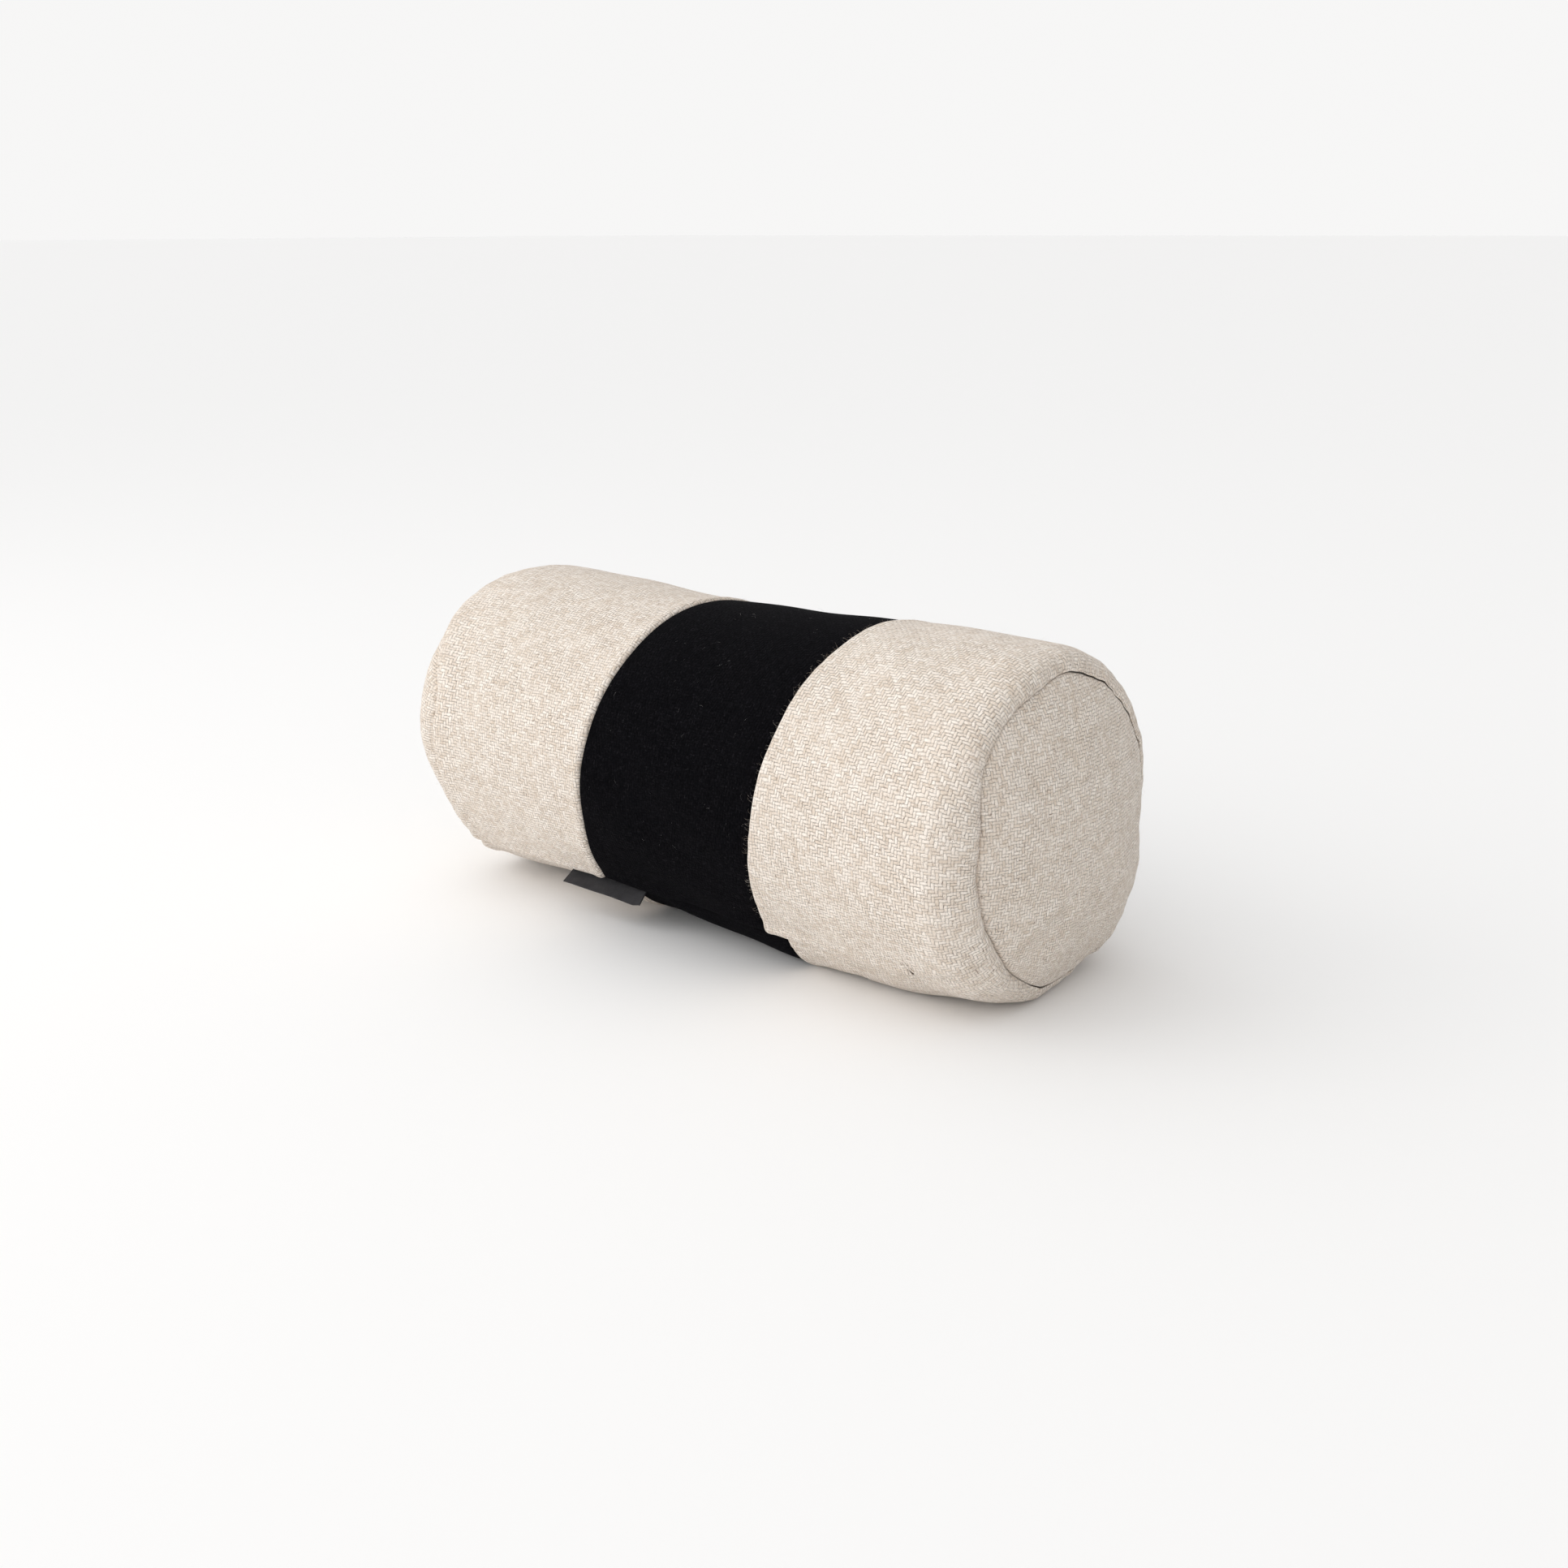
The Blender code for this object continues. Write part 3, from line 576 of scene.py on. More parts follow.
def store_flat(obj, flat):
    """Stores each point's place on the flat cloth, in metres, as its UV."""
    layer = obj.data.uv_layers[0] if obj.data.uv_layers else obj.data.uv_layers.new(name="cloth")
    layer.name = "cloth"
    corners = np.empty(len(obj.data.loops), np.int32)
    obj.data.loops.foreach_get("vertex_index", corners)
    layer.data.foreach_set("uv", flat[corners].astype(np.float32).ravel())


def pick(obj):
    """Selects one piece alone and makes it the active one."""
    deselect()
    obj.select_set(True)
    bpy.context.view_layer.objects.active = obj


def faces_of(obj):
    """The normal and the centre of every face."""
    normals, centres = (np.empty(len(obj.data.polygons) * 3, np.float32) for _ in range(2))
    obj.data.polygons.foreach_get("normal", normals)
    obj.data.polygons.foreach_get("center", centres)
    return normals.reshape(-1, 3), centres.reshape(-1, 3)


def turn_if(obj, inwards):
    """Turns all the faces of a piece round if they look inwards."""
    if inwards:
        pick(obj)
        bpy.ops.object.mode_set(mode="EDIT")
        bpy.ops.mesh.select_all(action="SELECT")
        bpy.ops.mesh.flip_normals()
        bpy.ops.object.mode_set(mode="OBJECT")


def face_outwards(obj, counted=1):
    """Makes the faces look away from the roll's axis, judged by those that are counted."""
    normals, centres = faces_of(obj)
    away = centres - np.array((0, 0, AXIS))
    away[:, 0] = 0
    turn_if(obj, ((normals * away).sum(1) * counted).sum() < 0)


def thicken(obj, thickness):
    """Gives a sheet its thickness on its inner side, and shades it smooth."""
    pick(obj)
    bpy.ops.object.modifier_add(type="SOLIDIFY")
    wall = obj.modifiers[-1]
    wall.thickness = thickness
    wall.offset = -1
    bpy.ops.object.modifier_apply(modifier=wall.name)
    bpy.ops.object.shade_smooth_by_angle(angle=math.radians(50))


# %% [markdown]
# A panel lies between two of the seam lines. Near each end of the zip its rows are closer
# together, since the edge changes there from turned in to sewn within a few millimetres.
# At a seam the two cloths overlap by a hair, so that no light comes through.

# %% Make the three panels
SEAM_OVERLAP = 0.00015
CLOSEST_ROWS = 0.00012


def make_panel(name, start_line, body_depth, only_open=False):
    nominal = seam_lines(math.pi)[start_line + 1] - seam_lines(math.pi)[start_line]
    rows = rows_between(nominal, 0.0021)
    ends = [seam_lines(theta, UNDER_STEP)[[start_line, start_line + 1]] for theta in (0.0, math.tau - 1e-6)]
    if not only_open:
        for low, high in ends:
            near_end = np.sign(low + high) * (OPEN_HALF + np.linspace(-0.0026, 0.0026, 14))
            rows = np.concatenate([rows, (near_end - low) / (high - low) * nominal])
        rows = np.sort(rows)
        rows = rows[np.concatenate([[True], np.diff(rows) > CLOSEST_ROWS])]
    t_up, t_down = (low + (high - low) * rows / nominal for low, high in ends)
    angle, extra = columns_at(t_up, t_down, only_open)
    share = (rows / nominal)[:, None] + 0 * angle
    t = along_at(start_line + np.clip(share, 0, 0.99999), angle, UNDER_STEP)
    lines = seam_lines(angle, UNDER_STEP)
    to_low, to_high = t - lines[..., start_line], lines[..., start_line + 1] - t
    depth = extra + body_depth(t, angle, to_low, to_high)
    t = t - np.where(share < 0.001, SEAM_OVERLAP, 0) + np.where(share > 0.999, SEAM_OVERLAP, 0)
    obj = cloth_grid(name, skin(t, angle, depth), np.stack([t, angle * RADIUS], -1))
    face_outwards(obj)
    thicken(obj, CLOTH)
    print(name, len(obj.data.polygons), "faces")
    return obj


def left_depth(t, theta, to_end, to_band):
    return cream_depth(t, theta, to_band, to_end)


left_cover = make_panel("left_panel_wool", 1, left_depth)
band_cover = make_panel("centre_band_wool", 2, black_depth, only_open=True)
right_cover = make_panel("right_panel_wool", 3, cream_depth)

# %% [markdown]
# ## The end discs
#
# A disc starts as a circle of edges. It is extruded inwards ring by ring, with narrow
# rings beside the seam, where the cloth bends most, and merged to a point in the middle.
# The rings are then laid on the skin between the seam and the pole. On the flat cloth a
# disc is a disc, so its map is polar, and its yarns run straight across it.

# %% Make the two discs
DISC_AROUND = 180


def disc_rings(coarse):
    width = POLE_T - SEAM_T
    return np.concatenate([BESIDE_SEAM, np.arange(FIRST_REGULAR, width - 0.5 * coarse, coarse)]) / width


def ring_disc(name, side, around_count, shares):
    """A circle extruded inwards to its middle, standing at one end of the roll."""
    centre = (side * SEAM_X, 0, AXIS)
    deselect()
    bpy.ops.mesh.primitive_circle_add(
        vertices=around_count, radius=SEAM_RADIUS, location=centre, rotation=(0, math.pi / 2, 0)
    )
    obj = bpy.context.object
    obj.name = obj.data.name = name
    apply_placing()
    bpy.ops.object.mode_set(mode="EDIT")
    bpy.ops.mesh.select_all(action="SELECT")
    for inner, outer in zip(shares[1:], shares):
        bpy.ops.mesh.extrude_region_move()
        factor = (1 - inner) / (1 - outer)
        bpy.ops.transform.resize(value=(factor, factor, factor), center_override=centre)
    bpy.ops.mesh.extrude_region_move()
    bpy.ops.mesh.merge(type="CENTER")
    bpy.ops.object.mode_set(mode="OBJECT")
    return obj


def disc_places(obj):
    """How far in from the rim each point is, as a share, and its angles round the roll."""
    start = points_of(obj)
    share = np.clip(1 - np.hypot(start[:, 1], start[:, 2] - AXIS) / SEAM_RADIUS, 0, 1)
    phi = np.arctan2(AXIS - start[:, 2], -start[:, 1])
    return share, phi, (ZIP_ANGLE - phi) % math.tau


def lay_disc(obj, side, points, t, phi):
    """Moves a disc to its points, maps it as a flat disc and turns it to look outwards."""
    set_points(obj, points)
    left = POLE_T - np.abs(t)
    store_flat(obj, np.stack([left * np.cos(phi), left * np.sin(phi)], -1))
    turn_if(obj, faces_of(obj)[0][:, 0].sum() * side < 0)


def make_disc(name, side):
    obj = ring_disc(name, side, DISC_AROUND, disc_rings(0.0022))
    share, phi, theta = disc_places(obj)
    seam = np.abs(seam_lines(theta)[:, 4 if side > 0 else 1])
    to_seam = share * (POLE_T - seam)
    t = side * (seam + to_seam + 0.00012)
    lay_disc(obj, side, skin(t, theta, disc_depth(t, theta, to_seam)), t, phi)
    thicken(obj, CLOTH)
    print(name, len(obj.data.polygons), "faces")
    return obj


left_disc = make_disc("left_disc_wool", -1)
right_disc = make_disc("right_disc_wool", 1)

# %% [markdown]
# ## The lap over the zip
#
# The lap is the upper panel's own cloth, folded back on itself so that it hides the zip.
# Its section is one path: from under the panel's edge, down the skin, round the fold at
# the free edge, and back up on the inside. The first few millimetres and both ends dip
# just below the panel, so no line shows where the two meet while the lap is closed.

# %% Make the lap in three lengths
FOLD = LAP_THICK / 2
LAP_END = 0.1496
TONGUE = 0.0031
LAP_CLOTH = 0.0019


def lap_path():
    """Distance up from the zip's line and depth, along the section of the lap."""
    path = [(15.4, 1.1), (14.6, 0.5), (13.8, 0.16), (13.0, 0.04), (12.2, 0.0)]
    path += [(u, 0.0) for u in np.linspace(11.3, -9.5 + 2.3, 20)]
    for turn in np.linspace(0, math.pi, 9)[1:]:
        path.append((-7.2 - 2.3 * math.sin(turn), 2.3 - 2.3 * math.cos(turn)))
    path += [(u, 4.6) for u in np.linspace(-6.0, 8.6, 13)]
    return np.array(path) * MM


def lap_line(theta, side):
    return side * BAND_HALF + BAND_DRIFT * np.sin(theta / 2)


def make_lap(name, low_side, high_side, body_depth):
    """One length of lap. A side is -1 or 1 for a band seam, and None for an end."""
    path = lap_path()
    theta = path[:, 0][None] / RADIUS
    outer = (path[:, 1] < FOLD)[None]
    end = np.where(outer, LAP_END + TONGUE, LAP_END)
    low = -end if low_side is None else lap_line(theta, low_side) + 0.00012
    high = end if high_side is None else lap_line(theta, high_side) - 0.00012
    width = float(np.mean(high - low))
    rows = rows_between(width, 0.0021)[:, None] / width
    t = low + (high - low) * rows
    to_low = t - low + (1.0 if low_side is None else 0.0)
    to_high = high - t + (1.0 if high_side is None else 0.0)
    depth = path[:, 1][None] + body_depth(t, theta, to_low, to_high)
    crown = 0.0008 * bump_at(path[:, 0][None], -0.0050, 0.0040)
    dip = np.clip((np.abs(t) - LAP_END) / TONGUE, 0, 1)
    corner = smooth_step((-path[:, 0][None] - 0.0055) / 0.0035)
    depth = depth - crown + (0.0011 + 0.0012 * corner) * dip**2
    flat = np.stack([t, np.broadcast_to(theta, t.shape) * RADIUS], -1)
    flat[..., 1] = np.where(outer, flat[..., 1], -flat[..., 1] - 2 * LAP_EDGE)
    obj = cloth_grid(name, skin(t, np.broadcast_to(theta, t.shape), depth), flat)
    face_outwards(obj, outer_faces(obj))
    thicken(obj, LAP_CLOTH)
    return obj


def outer_faces(obj):
    """Which faces of a folded strip lie on its outer side, read from its flat map."""
    flat = np.empty(len(obj.data.loops) * 2, np.float32)
    obj.data.uv_layers[0].data.foreach_get("uv", flat)
    starts = np.empty(len(obj.data.polygons), np.int32)
    obj.data.polygons.foreach_get("loop_start", starts)
    up = flat.reshape(-1, 2)[starts, 1]
    return (up < 0.011) & (up > -0.006)


left_fold = make_lap("left_lap_wool", None, -1, left_depth)
band_fold = make_lap("centre_lap_wool", -1, 1, black_depth)
right_fold = make_lap("right_lap_wool", 1, None, cream_depth)
print("lap pieces:", [len(o.data.polygons) for o in (left_fold, band_fold, right_fold)])

# %% [markdown]
# ## The side tab
#
# The tab is a short length of woven ribbon, folded in half with its fold outwards, and
# both ends caught under the lap. It stands out from the roll by about 9 mm. The real
# one carries a maker's word, which is left off here. It is a grid laid along a path,
# like the lap, but with much thinner cloth and a slight bow, as a folded ribbon has.

# %% Make the side tab
tab_low, tab_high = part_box("side_label")
TAB_IN, TAB_OUT, TAB_NEAR, TAB_FAR = 0.0066, -0.0090, -0.0104, -0.0112


def tab_path():
    fold = (TAB_NEAR - TAB_FAR) / 2
    path = [(TAB_NEAR, depth) for depth in np.linspace(TAB_IN, TAB_OUT + fold, 15)]
    for turn in np.linspace(0, math.pi, 7)[1:-1]:
        middle = (TAB_NEAR + TAB_FAR) / 2
        path.append((middle + fold * math.cos(turn), TAB_OUT + fold - fold * math.sin(turn)))
    path += [(TAB_FAR, depth) for depth in np.linspace(TAB_OUT + fold, TAB_IN, 15)]
    return np.array(path)


def make_tab(name):
    path = tab_path()
    t = np.linspace(tab_low.x - 0.0030, tab_high.x - 0.0002, 55)[:, None]
    out = np.clip((0.004 - path[:, 1]) / 0.013, 0, 1)[None]
    bow = 0.0008 * np.sin((t - tab_low.x) * 75) + 0.0004 * np.sin((t - tab_low.x) * 210 + 1)
    twist = 0.0042 * np.clip((-t - 0.032) / 0.052, 0, 1)
    u = path[:, 0][None] - 0.0007 * out**2 + bow * out**1.5 + twist * out**1.3
    slant = 0.0011 * out * smooth_step((t + 0.036) / 0.006)
    depth = path[:, 1][None] + 0 * t + slant
    t = t - 0.0009 * out * smooth_step((t + 0.040) / 0.010) + 0 * u
    flat = np.stack([t, np.broadcast_to(np.cumsum(np.r_[0, np.hypot(*np.diff(path.T))]), t.shape)], -1)
    foot = t[:, :1]
    foot_theta = np.full_like(foot, (TAB_NEAR + TAB_FAR) / 2 / RADIUS)
    base = skin(foot, foot_theta, 0 * foot)
    out_of = (base - skin(foot, foot_theta, 0 * foot + MM)) / MM
    up_skin = np.cross(out_of, np.array((1.0, 0, 0)))
    up_skin *= np.sign(up_skin[..., 2:3])
    shift = (u - (TAB_NEAR + TAB_FAR) / 2)[..., None]
    points = base + up_skin * shift - out_of * depth[..., None]
    points[..., 0] = t
    obj = cloth_grid(name, points, flat)
    normals, centres = faces_of(obj)
    near_face = ((centres - points.mean((0, 1))) @ up_skin[0, 0]) > 0
    turn_if(obj, ((normals @ up_skin[0, 0]) * np.where(near_face, 1, -1)).sum() < 0)
    thicken(obj, 0.00034)
    return obj


tab = make_tab("side_tab")
print(f"tab {1000 * (tab_high.x - tab_low.x):.0f} mm long")

# %% [markdown]
# ## What is inside
#
# Under the wool is a cotton cushion: a tube with two round ends, sewn shut over a body
# of loose polyester fibre. The opened lap and zip hint at it, and a scene may take the
# cover away, so it is modelled too, a little below the cover everywhere and deeper
# behind the zip. The care label is a small strip sewn beside the zip's lower tape.

# %% Make the inner cushion
CASING_DEPTH, CASING_CLOTH, ZIP_WELL = 0.0034, 0.0006, 0.0108
END_VALLEY, BAND_VALLEY = (0.009, 0.0042), (0.005, 0.0024)


def inner_depth(t, theta, below=0.0):
    """Depth of the cotton under the stuffed form, clear of every seam's valley."""
    lines = seam_lines(theta, UNDER_STEP)
    u = RADIUS * ((theta + math.pi) % math.tau - math.pi)
    well = (1 - smooth_step((np.abs(u) - 0.0185) / 0.019)) * (1 - smooth_step((np.abs(t) - 0.152) / 0.017))
    depth = CASING_DEPTH + below + ZIP_WELL * well
    for line, (reach, extra) in zip((1, 2, 3, 4), (END_VALLEY, BAND_VALLEY, BAND_VALLEY, END_VALLEY)):
        depth = depth + extra * bump_at(t, lines[..., line], reach) * (1 - well)
    creased = bump_at(u, -0.002, 0.010) * smooth_step((np.abs(t) - 0.146) / 0.006)
    return depth + 0.0034 * creased * (1 - well)


def make_casing_tube(name):
    t = np.linspace(-SEAM_T + 0.0003, SEAM_T - 0.0003, 110)[:, None]
    theta = np.linspace(0, math.tau, 161)[None]
    t, theta = np.broadcast_arrays(t, theta)
    obj = cloth_grid(name, skin(t, theta, inner_depth(t, theta)), np.stack([t, theta * RADIUS], -1))
    bpy.ops.object.mode_set(mode="EDIT")
    bpy.ops.mesh.select_all(action="SELECT")
    bpy.ops.mesh.remove_doubles(threshold=0.00001)
    bpy.ops.object.mode_set(mode="OBJECT")
    face_outwards(obj)
    thicken(obj, CASING_CLOTH)
    return obj


def make_casing_end(name, side):
    obj = ring_disc(name, side, 96, np.linspace(0, 0.96, 17))
    share, phi, theta = disc_places(obj)
    t = side * (SEAM_T + 0.0003 + share * (POLE_T - SEAM_T))
    lay_disc(obj, side, skin(t, theta, inner_depth(t, theta)), t, phi)
    thicken(obj, CASING_CLOTH)
    return obj


def make_fibre(name):
    deselect()
    bpy.ops.mesh.primitive_uv_sphere_add(segments=96, ring_count=84, radius=1.0, rotation=(0, math.pi / 2, 0))
    obj = bpy.context.object
    obj.name = obj.data.name = name
    apply_placing()
    start = points_of(obj)
    t = -POLE_T * (1 - 2 * np.arccos(np.clip(-start[:, 0], -1, 1)) / math.pi)
    t = np.where(start[:, 0] > 0, np.abs(t), -np.abs(t))
    theta = (ZIP_ANGLE - np.arctan2(-start[:, 2], -start[:, 1])) % math.tau
    lumps = 0.0006 * (1 + waves(t, theta, 21, 0.018, 14))
    set_points(obj, skin(t, theta, inner_depth(t, theta, 0.0013) + lumps))
    bpy.ops.object.shade_smooth()
    return obj


casing_tube = make_casing_tube("casing_tube_cotton")
casing_left = make_casing_end("casing_end_left_cotton", -1)
casing_right = make_casing_end("casing_end_right_cotton", 1)
fibre = make_fibre("fibre_filling")
print("inner pieces:", [len(o.data.polygons) for o in (casing_tube, casing_left, casing_right, fibre)])

# %% [markdown]
# The care label hangs inside the cover, where nobody sees it while the zip is closed.
# It is left blank, so a thin strip with a slight bow is enough.

# %% Make the care label
care_low, care_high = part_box("care_label")


def make_care_label(name):
    rows, columns = 30, 12
    across = np.linspace(0, 1, columns)[None]
    along = np.linspace(0, 1, rows)[:, None]
    across, along = np.broadcast_arrays(across, along)
    start = np.array((care_low.x, care_low.y + 0.0003, care_high.z - 0.0003))
    stop = np.array((care_low.x, care_high.y - 0.0003, care_low.z + 0.0003))
    points = start + (stop - start) * across[..., None]
    points[..., 0] = care_low.x + (care_high.x - care_low.x) * along
    points[..., 2] += 0.00012 * np.sin(along * 9) * np.sin(across * math.pi)
    flat = np.stack([points[..., 0], across * 0.009], -1)
    obj = cloth_grid(name, points, flat)
    face_outwards(obj)
    thicken(obj, 0.00025)
    return obj


care = make_care_label("care_label_strip")
print("care label", np.round(np.array(care.dimensions) * 1000, 1), "mm")

# %% [markdown]
# ## Stray fibres
#
# Felted wool is never quite clean. Short hairs stand off the cream cloth, longer ones
# reach over the edge of the black band, and pale lint lies on the black. A bump map
# can't break an outline, so these are real hairs. One hair is a three-sided rod, an
# array modifier repeats it, and each copy is then bent along its own small curve.

# %% Make the hairs
HAIR_STEPS = 4


def make_hairs(name, root, out, lie, length, lift, curl, thickness):
    """One mesh of bent hairs. Every argument after the name has one entry for each hair."""
    count = len(root)
    deselect()
    bpy.ops.mesh.primitive_cylinder_add(vertices=3, radius=1.0, depth=1.0)
    obj = bpy.context.object
    obj.name = obj.data.name = name
    bpy.ops.object.mode_set(mode="EDIT")
    bpy.ops.mesh.select_mode(type="EDGE")
    bpy.ops.mesh.select_all(action="DESELECT")
    bpy.ops.object.mode_set(mode="OBJECT")
    for edge in obj.data.edges:
        ends = [obj.data.vertices[index].co.z for index in edge.vertices]
        edge.select = abs(ends[0] - ends[1]) > 0.5
    bpy.ops.object.mode_set(mode="EDIT")
    bpy.ops.mesh.subdivide(number_cuts=HAIR_STEPS - 1)
    bpy.ops.object.mode_set(mode="OBJECT")
    bpy.ops.object.modifier_add(type="ARRAY")
    repeat = obj.modifiers[-1]
    repeat.count = count
    repeat.use_relative_offset = False
    repeat.use_constant_offset = False
    bpy.ops.object.modifier_apply(modifier=repeat.name)
    rod = points_of(obj).reshape(count, -1, 3)
    s = rod[..., 2] + 0.5
    taper = thickness[:, None] * (1 - 0.6 * s)
    side = np.cross(out, lie)
    up = lift[:, None] * np.sin(s * math.pi * 0.62) * length[:, None]
    bend = curl[:, None] * s**2 * length[:, None]
    line = root[:, None] + lie[:, None] * (s * length[:, None] * np.cos(curl[:, None] * s))[..., None]
    line = line + out[:, None] * up[..., None] + side[:, None] * bend[..., None]
    wide, deep = (rod[..., 0] * taper)[..., None], (rod[..., 1] * taper)[..., None]
    set_points(obj, (line + (side[:, None] * wide + out[:, None] * deep)).reshape(-1, 3))
    bpy.ops.object.shade_smooth()
    return obj


def hair_directions(t, theta, heading):
    """The skin's outward direction at some points, and a direction along the cloth."""
    small = 0.001
    out = (skin(t, theta) - skin(t, theta, 0 * t + small)) / small
    out /= np.maximum(np.linalg.norm(out, axis=1, keepdims=True), 1e-9)
    along = skin(t + small, theta) - skin(t - small, theta)
    along /= np.maximum(np.linalg.norm(along, axis=1, keepdims=True), 1e-9)
    across = np.cross(out, along)
    lie = along * np.cos(heading)[:, None] + across * np.sin(heading)[:, None]
    return out, lie


def scatter(name, t, theta, depth, length, lift, thickness):
    """Hairs that lie every way on the cloth."""
    count = len(t)
    out, lie = hair_directions(t, theta, draw.uniform(0, math.tau, count))
    root = skin(t, theta, depth)
    curl = draw.uniform(-0.9, 0.9, count)
    return make_hairs(name, root, out, lie, length, lift, curl, thickness)


def off_the_floor(count, low, high):
    """Random angles round the roll, leaving out the part that lies on the floor."""
    theta = draw.uniform(low, high, 3 * count)
    return theta[skin(0 * theta, theta)[:, 2] > 0.006][:count]


draw = np.random.default_rng(41)
count = 1500
theta = off_the_floor(count, 0.22, math.tau - 0.30)
t = draw.uniform(-SEAM_T - 0.05, SEAM_T + 0.05, count)
lines = seam_lines(theta, UNDER_STEP)
on_cream = (t < lines[:, 2] - 0.001) | (t > lines[:, 3] + 0.001)
t, theta = t[on_cream], theta[on_cream]
nap = scatter(
    "cream_nap", t, theta, np.full(len(t), 0.0002), draw.uniform(0.0009, 0.0026, len(t)),
    draw.uniform(0.35, 1.1, len(t)), np.full(len(t), 0.000028),
)
print(nap.name, len(t), "hairs")

# %% [markdown]
# Lint falls anywhere on the band. Frayed hairs start beside the line of a seam, more of
# them on the right half, and reach across it.

# %% Lay lint on the band and fray its edges
count = 210
theta = off_the_floor(count, 0.05, math.tau - 0.35)
lines = seam_lines(theta, UNDER_STEP)
share = draw.uniform(0.02, 0.98, count)
t = lines[:, 2] + (lines[:, 3] - lines[:, 2]) * share
depth = 0.0002 - 0.0003 * draw.random(count)
lint = scatter(
    "band_lint", t, theta, depth, draw.uniform(0.0008, 0.0042, count) * draw.uniform(0.5, 1, count),
    draw.uniform(0.03, 0.4, count), draw.uniform(0.00002, 0.000032, count),
)


def seam_hairs(name, count, stop, under_step, pair, outwards, start, swing, depth, length, lift, thickness):
    """Hairs beside a pair of seams. outwards is 1 where they start on the side of the end."""
    theta = off_the_floor(count, 0.02, math.tau - stop)
    lines = seam_lines(theta, under_step)
    at_right = draw.random(count) < 0.6
    side = np.where(at_right, outwards, -outwards)
    t = np.where(at_right, lines[:, pair[1]], lines[:, pair[0]]) + side * draw.uniform(*start, count)
    heading = np.where(side > 0, math.pi, 0) + draw.uniform(-swing, swing, count)
    out, lie = hair_directions(t, theta, heading)
    return make_hairs(
        name, skin(t, theta, np.full(count, depth)), out, lie, draw.uniform(*length, count),
        draw.uniform(*lift, count), draw.uniform(-0.9, 0.9, count), np.full(count, thickness),
    )


fray = seam_hairs(
    "band_edge_fray", 520, 0.32, UNDER_STEP, (2, 3), 1, start=(0.0006, 0.0016), swing=1.1, depth=0.0006,
    length=(0.0012, 0.0034), lift=(0.1, 0.9), thickness=0.000024,
)
fuzz = seam_hairs(
    "end_seam_fuzz", 900, 0.25, 0.0, (1, 4), -1, start=(0.0003, 0.0022), swing=1.2, depth=0.0011,
    length=(0.0014, 0.0034), lift=(0.15, 0.7), thickness=0.00003,
)
print({o.name: len(o.data.polygons) for o in (lint, fray, fuzz)}, "faces")

# %% [markdown]
# ## Building blocks for the materials
#
# A material is a tree of nodes. Written out one by one, nodes and links fill pages, so a
# small class adds a node and feeds its inputs, with numbers or with other nodes' outputs.


# %% Small helpers for node trees
def new_group(name, inputs, outputs):
    group = bpy.data.node_groups.new(name, "ShaderNodeTree")
    for label, kind, value in inputs:
        socket = group.interface.new_socket(name=label, in_out="INPUT", socket_type=kind)
        if value is not None:
            socket.default_value = value
    for label, kind in outputs:
        group.interface.new_socket(name=label, in_out="OUTPUT", socket_type=kind)
    first, last = group.nodes.new("NodeGroupInput"), group.nodes.new("NodeGroupOutput")
    first.location, last.location = (-1400, 0), (800, 0)
    return group, first.outputs, last.inputs


class Tree:
    """Adds nodes to a tree, with numbers or links as their inputs."""

    def __init__(self, tree):
        self.tree = tree

    def node(self, kind, inputs=(), **settings):
        made = self.tree.nodes.new(kind)
        for key, value in settings.items():
            setattr(made, key, value)
        for key, value in dict(inputs).items():
            self.feed(made.inputs[key], value)
        return made

    def feed(self, socket, value):
        if isinstance(value, bpy.types.NodeSocket):
            self.tree.links.new(value, socket)
        else:
            socket.default_value = value

    def math(self, operation, a, b=None, c=None):
        given = {k: v for k, v in enumerate((a, b, c)) if v is not None}
        return self.node("ShaderNodeMath", given, operation=operation).outputs[0]

    def mix(self, factor, a, b, kind="FLOAT", blend="MIX"):
        made = self.tree.nodes.new("ShaderNodeMix")
        made.data_type = kind
        if kind == "RGBA":
            made.blend_type = blend
        places = {"FLOAT": (0, 2, 3), "RGBA": (0, 6, 7)}[kind]
        for place, value in zip(places, (factor, a, b)):
            self.feed(made.inputs[place], value)
        return made.outputs[0 if kind == "FLOAT" else 2]

    def noise(self, vector, scale, detail=2.0, rough=0.5, distortion=0.0):
        given = {"Vector": vector, "Scale": scale, "Detail": detail, "Roughness": rough}
        made = self.node("ShaderNodeTexNoise", {**given, "Distortion": distortion})
        return made.outputs["Fac"]

    def spread(self, value, low, high):
        made = self.node("ShaderNodeMapRange", {0: value, 1: low, 2: high, 3: 0.0, 4: 1.0})
        made.interpolation_type = "SMOOTHSTEP"
        return made.outputs[0]

    def emboss(self, shader, strength, distance, height):
        made = self.node("ShaderNodeBump", {"Strength": strength, "Distance": distance, "Height": height})
        self.feed(shader.inputs["Normal"], made.outputs[0])
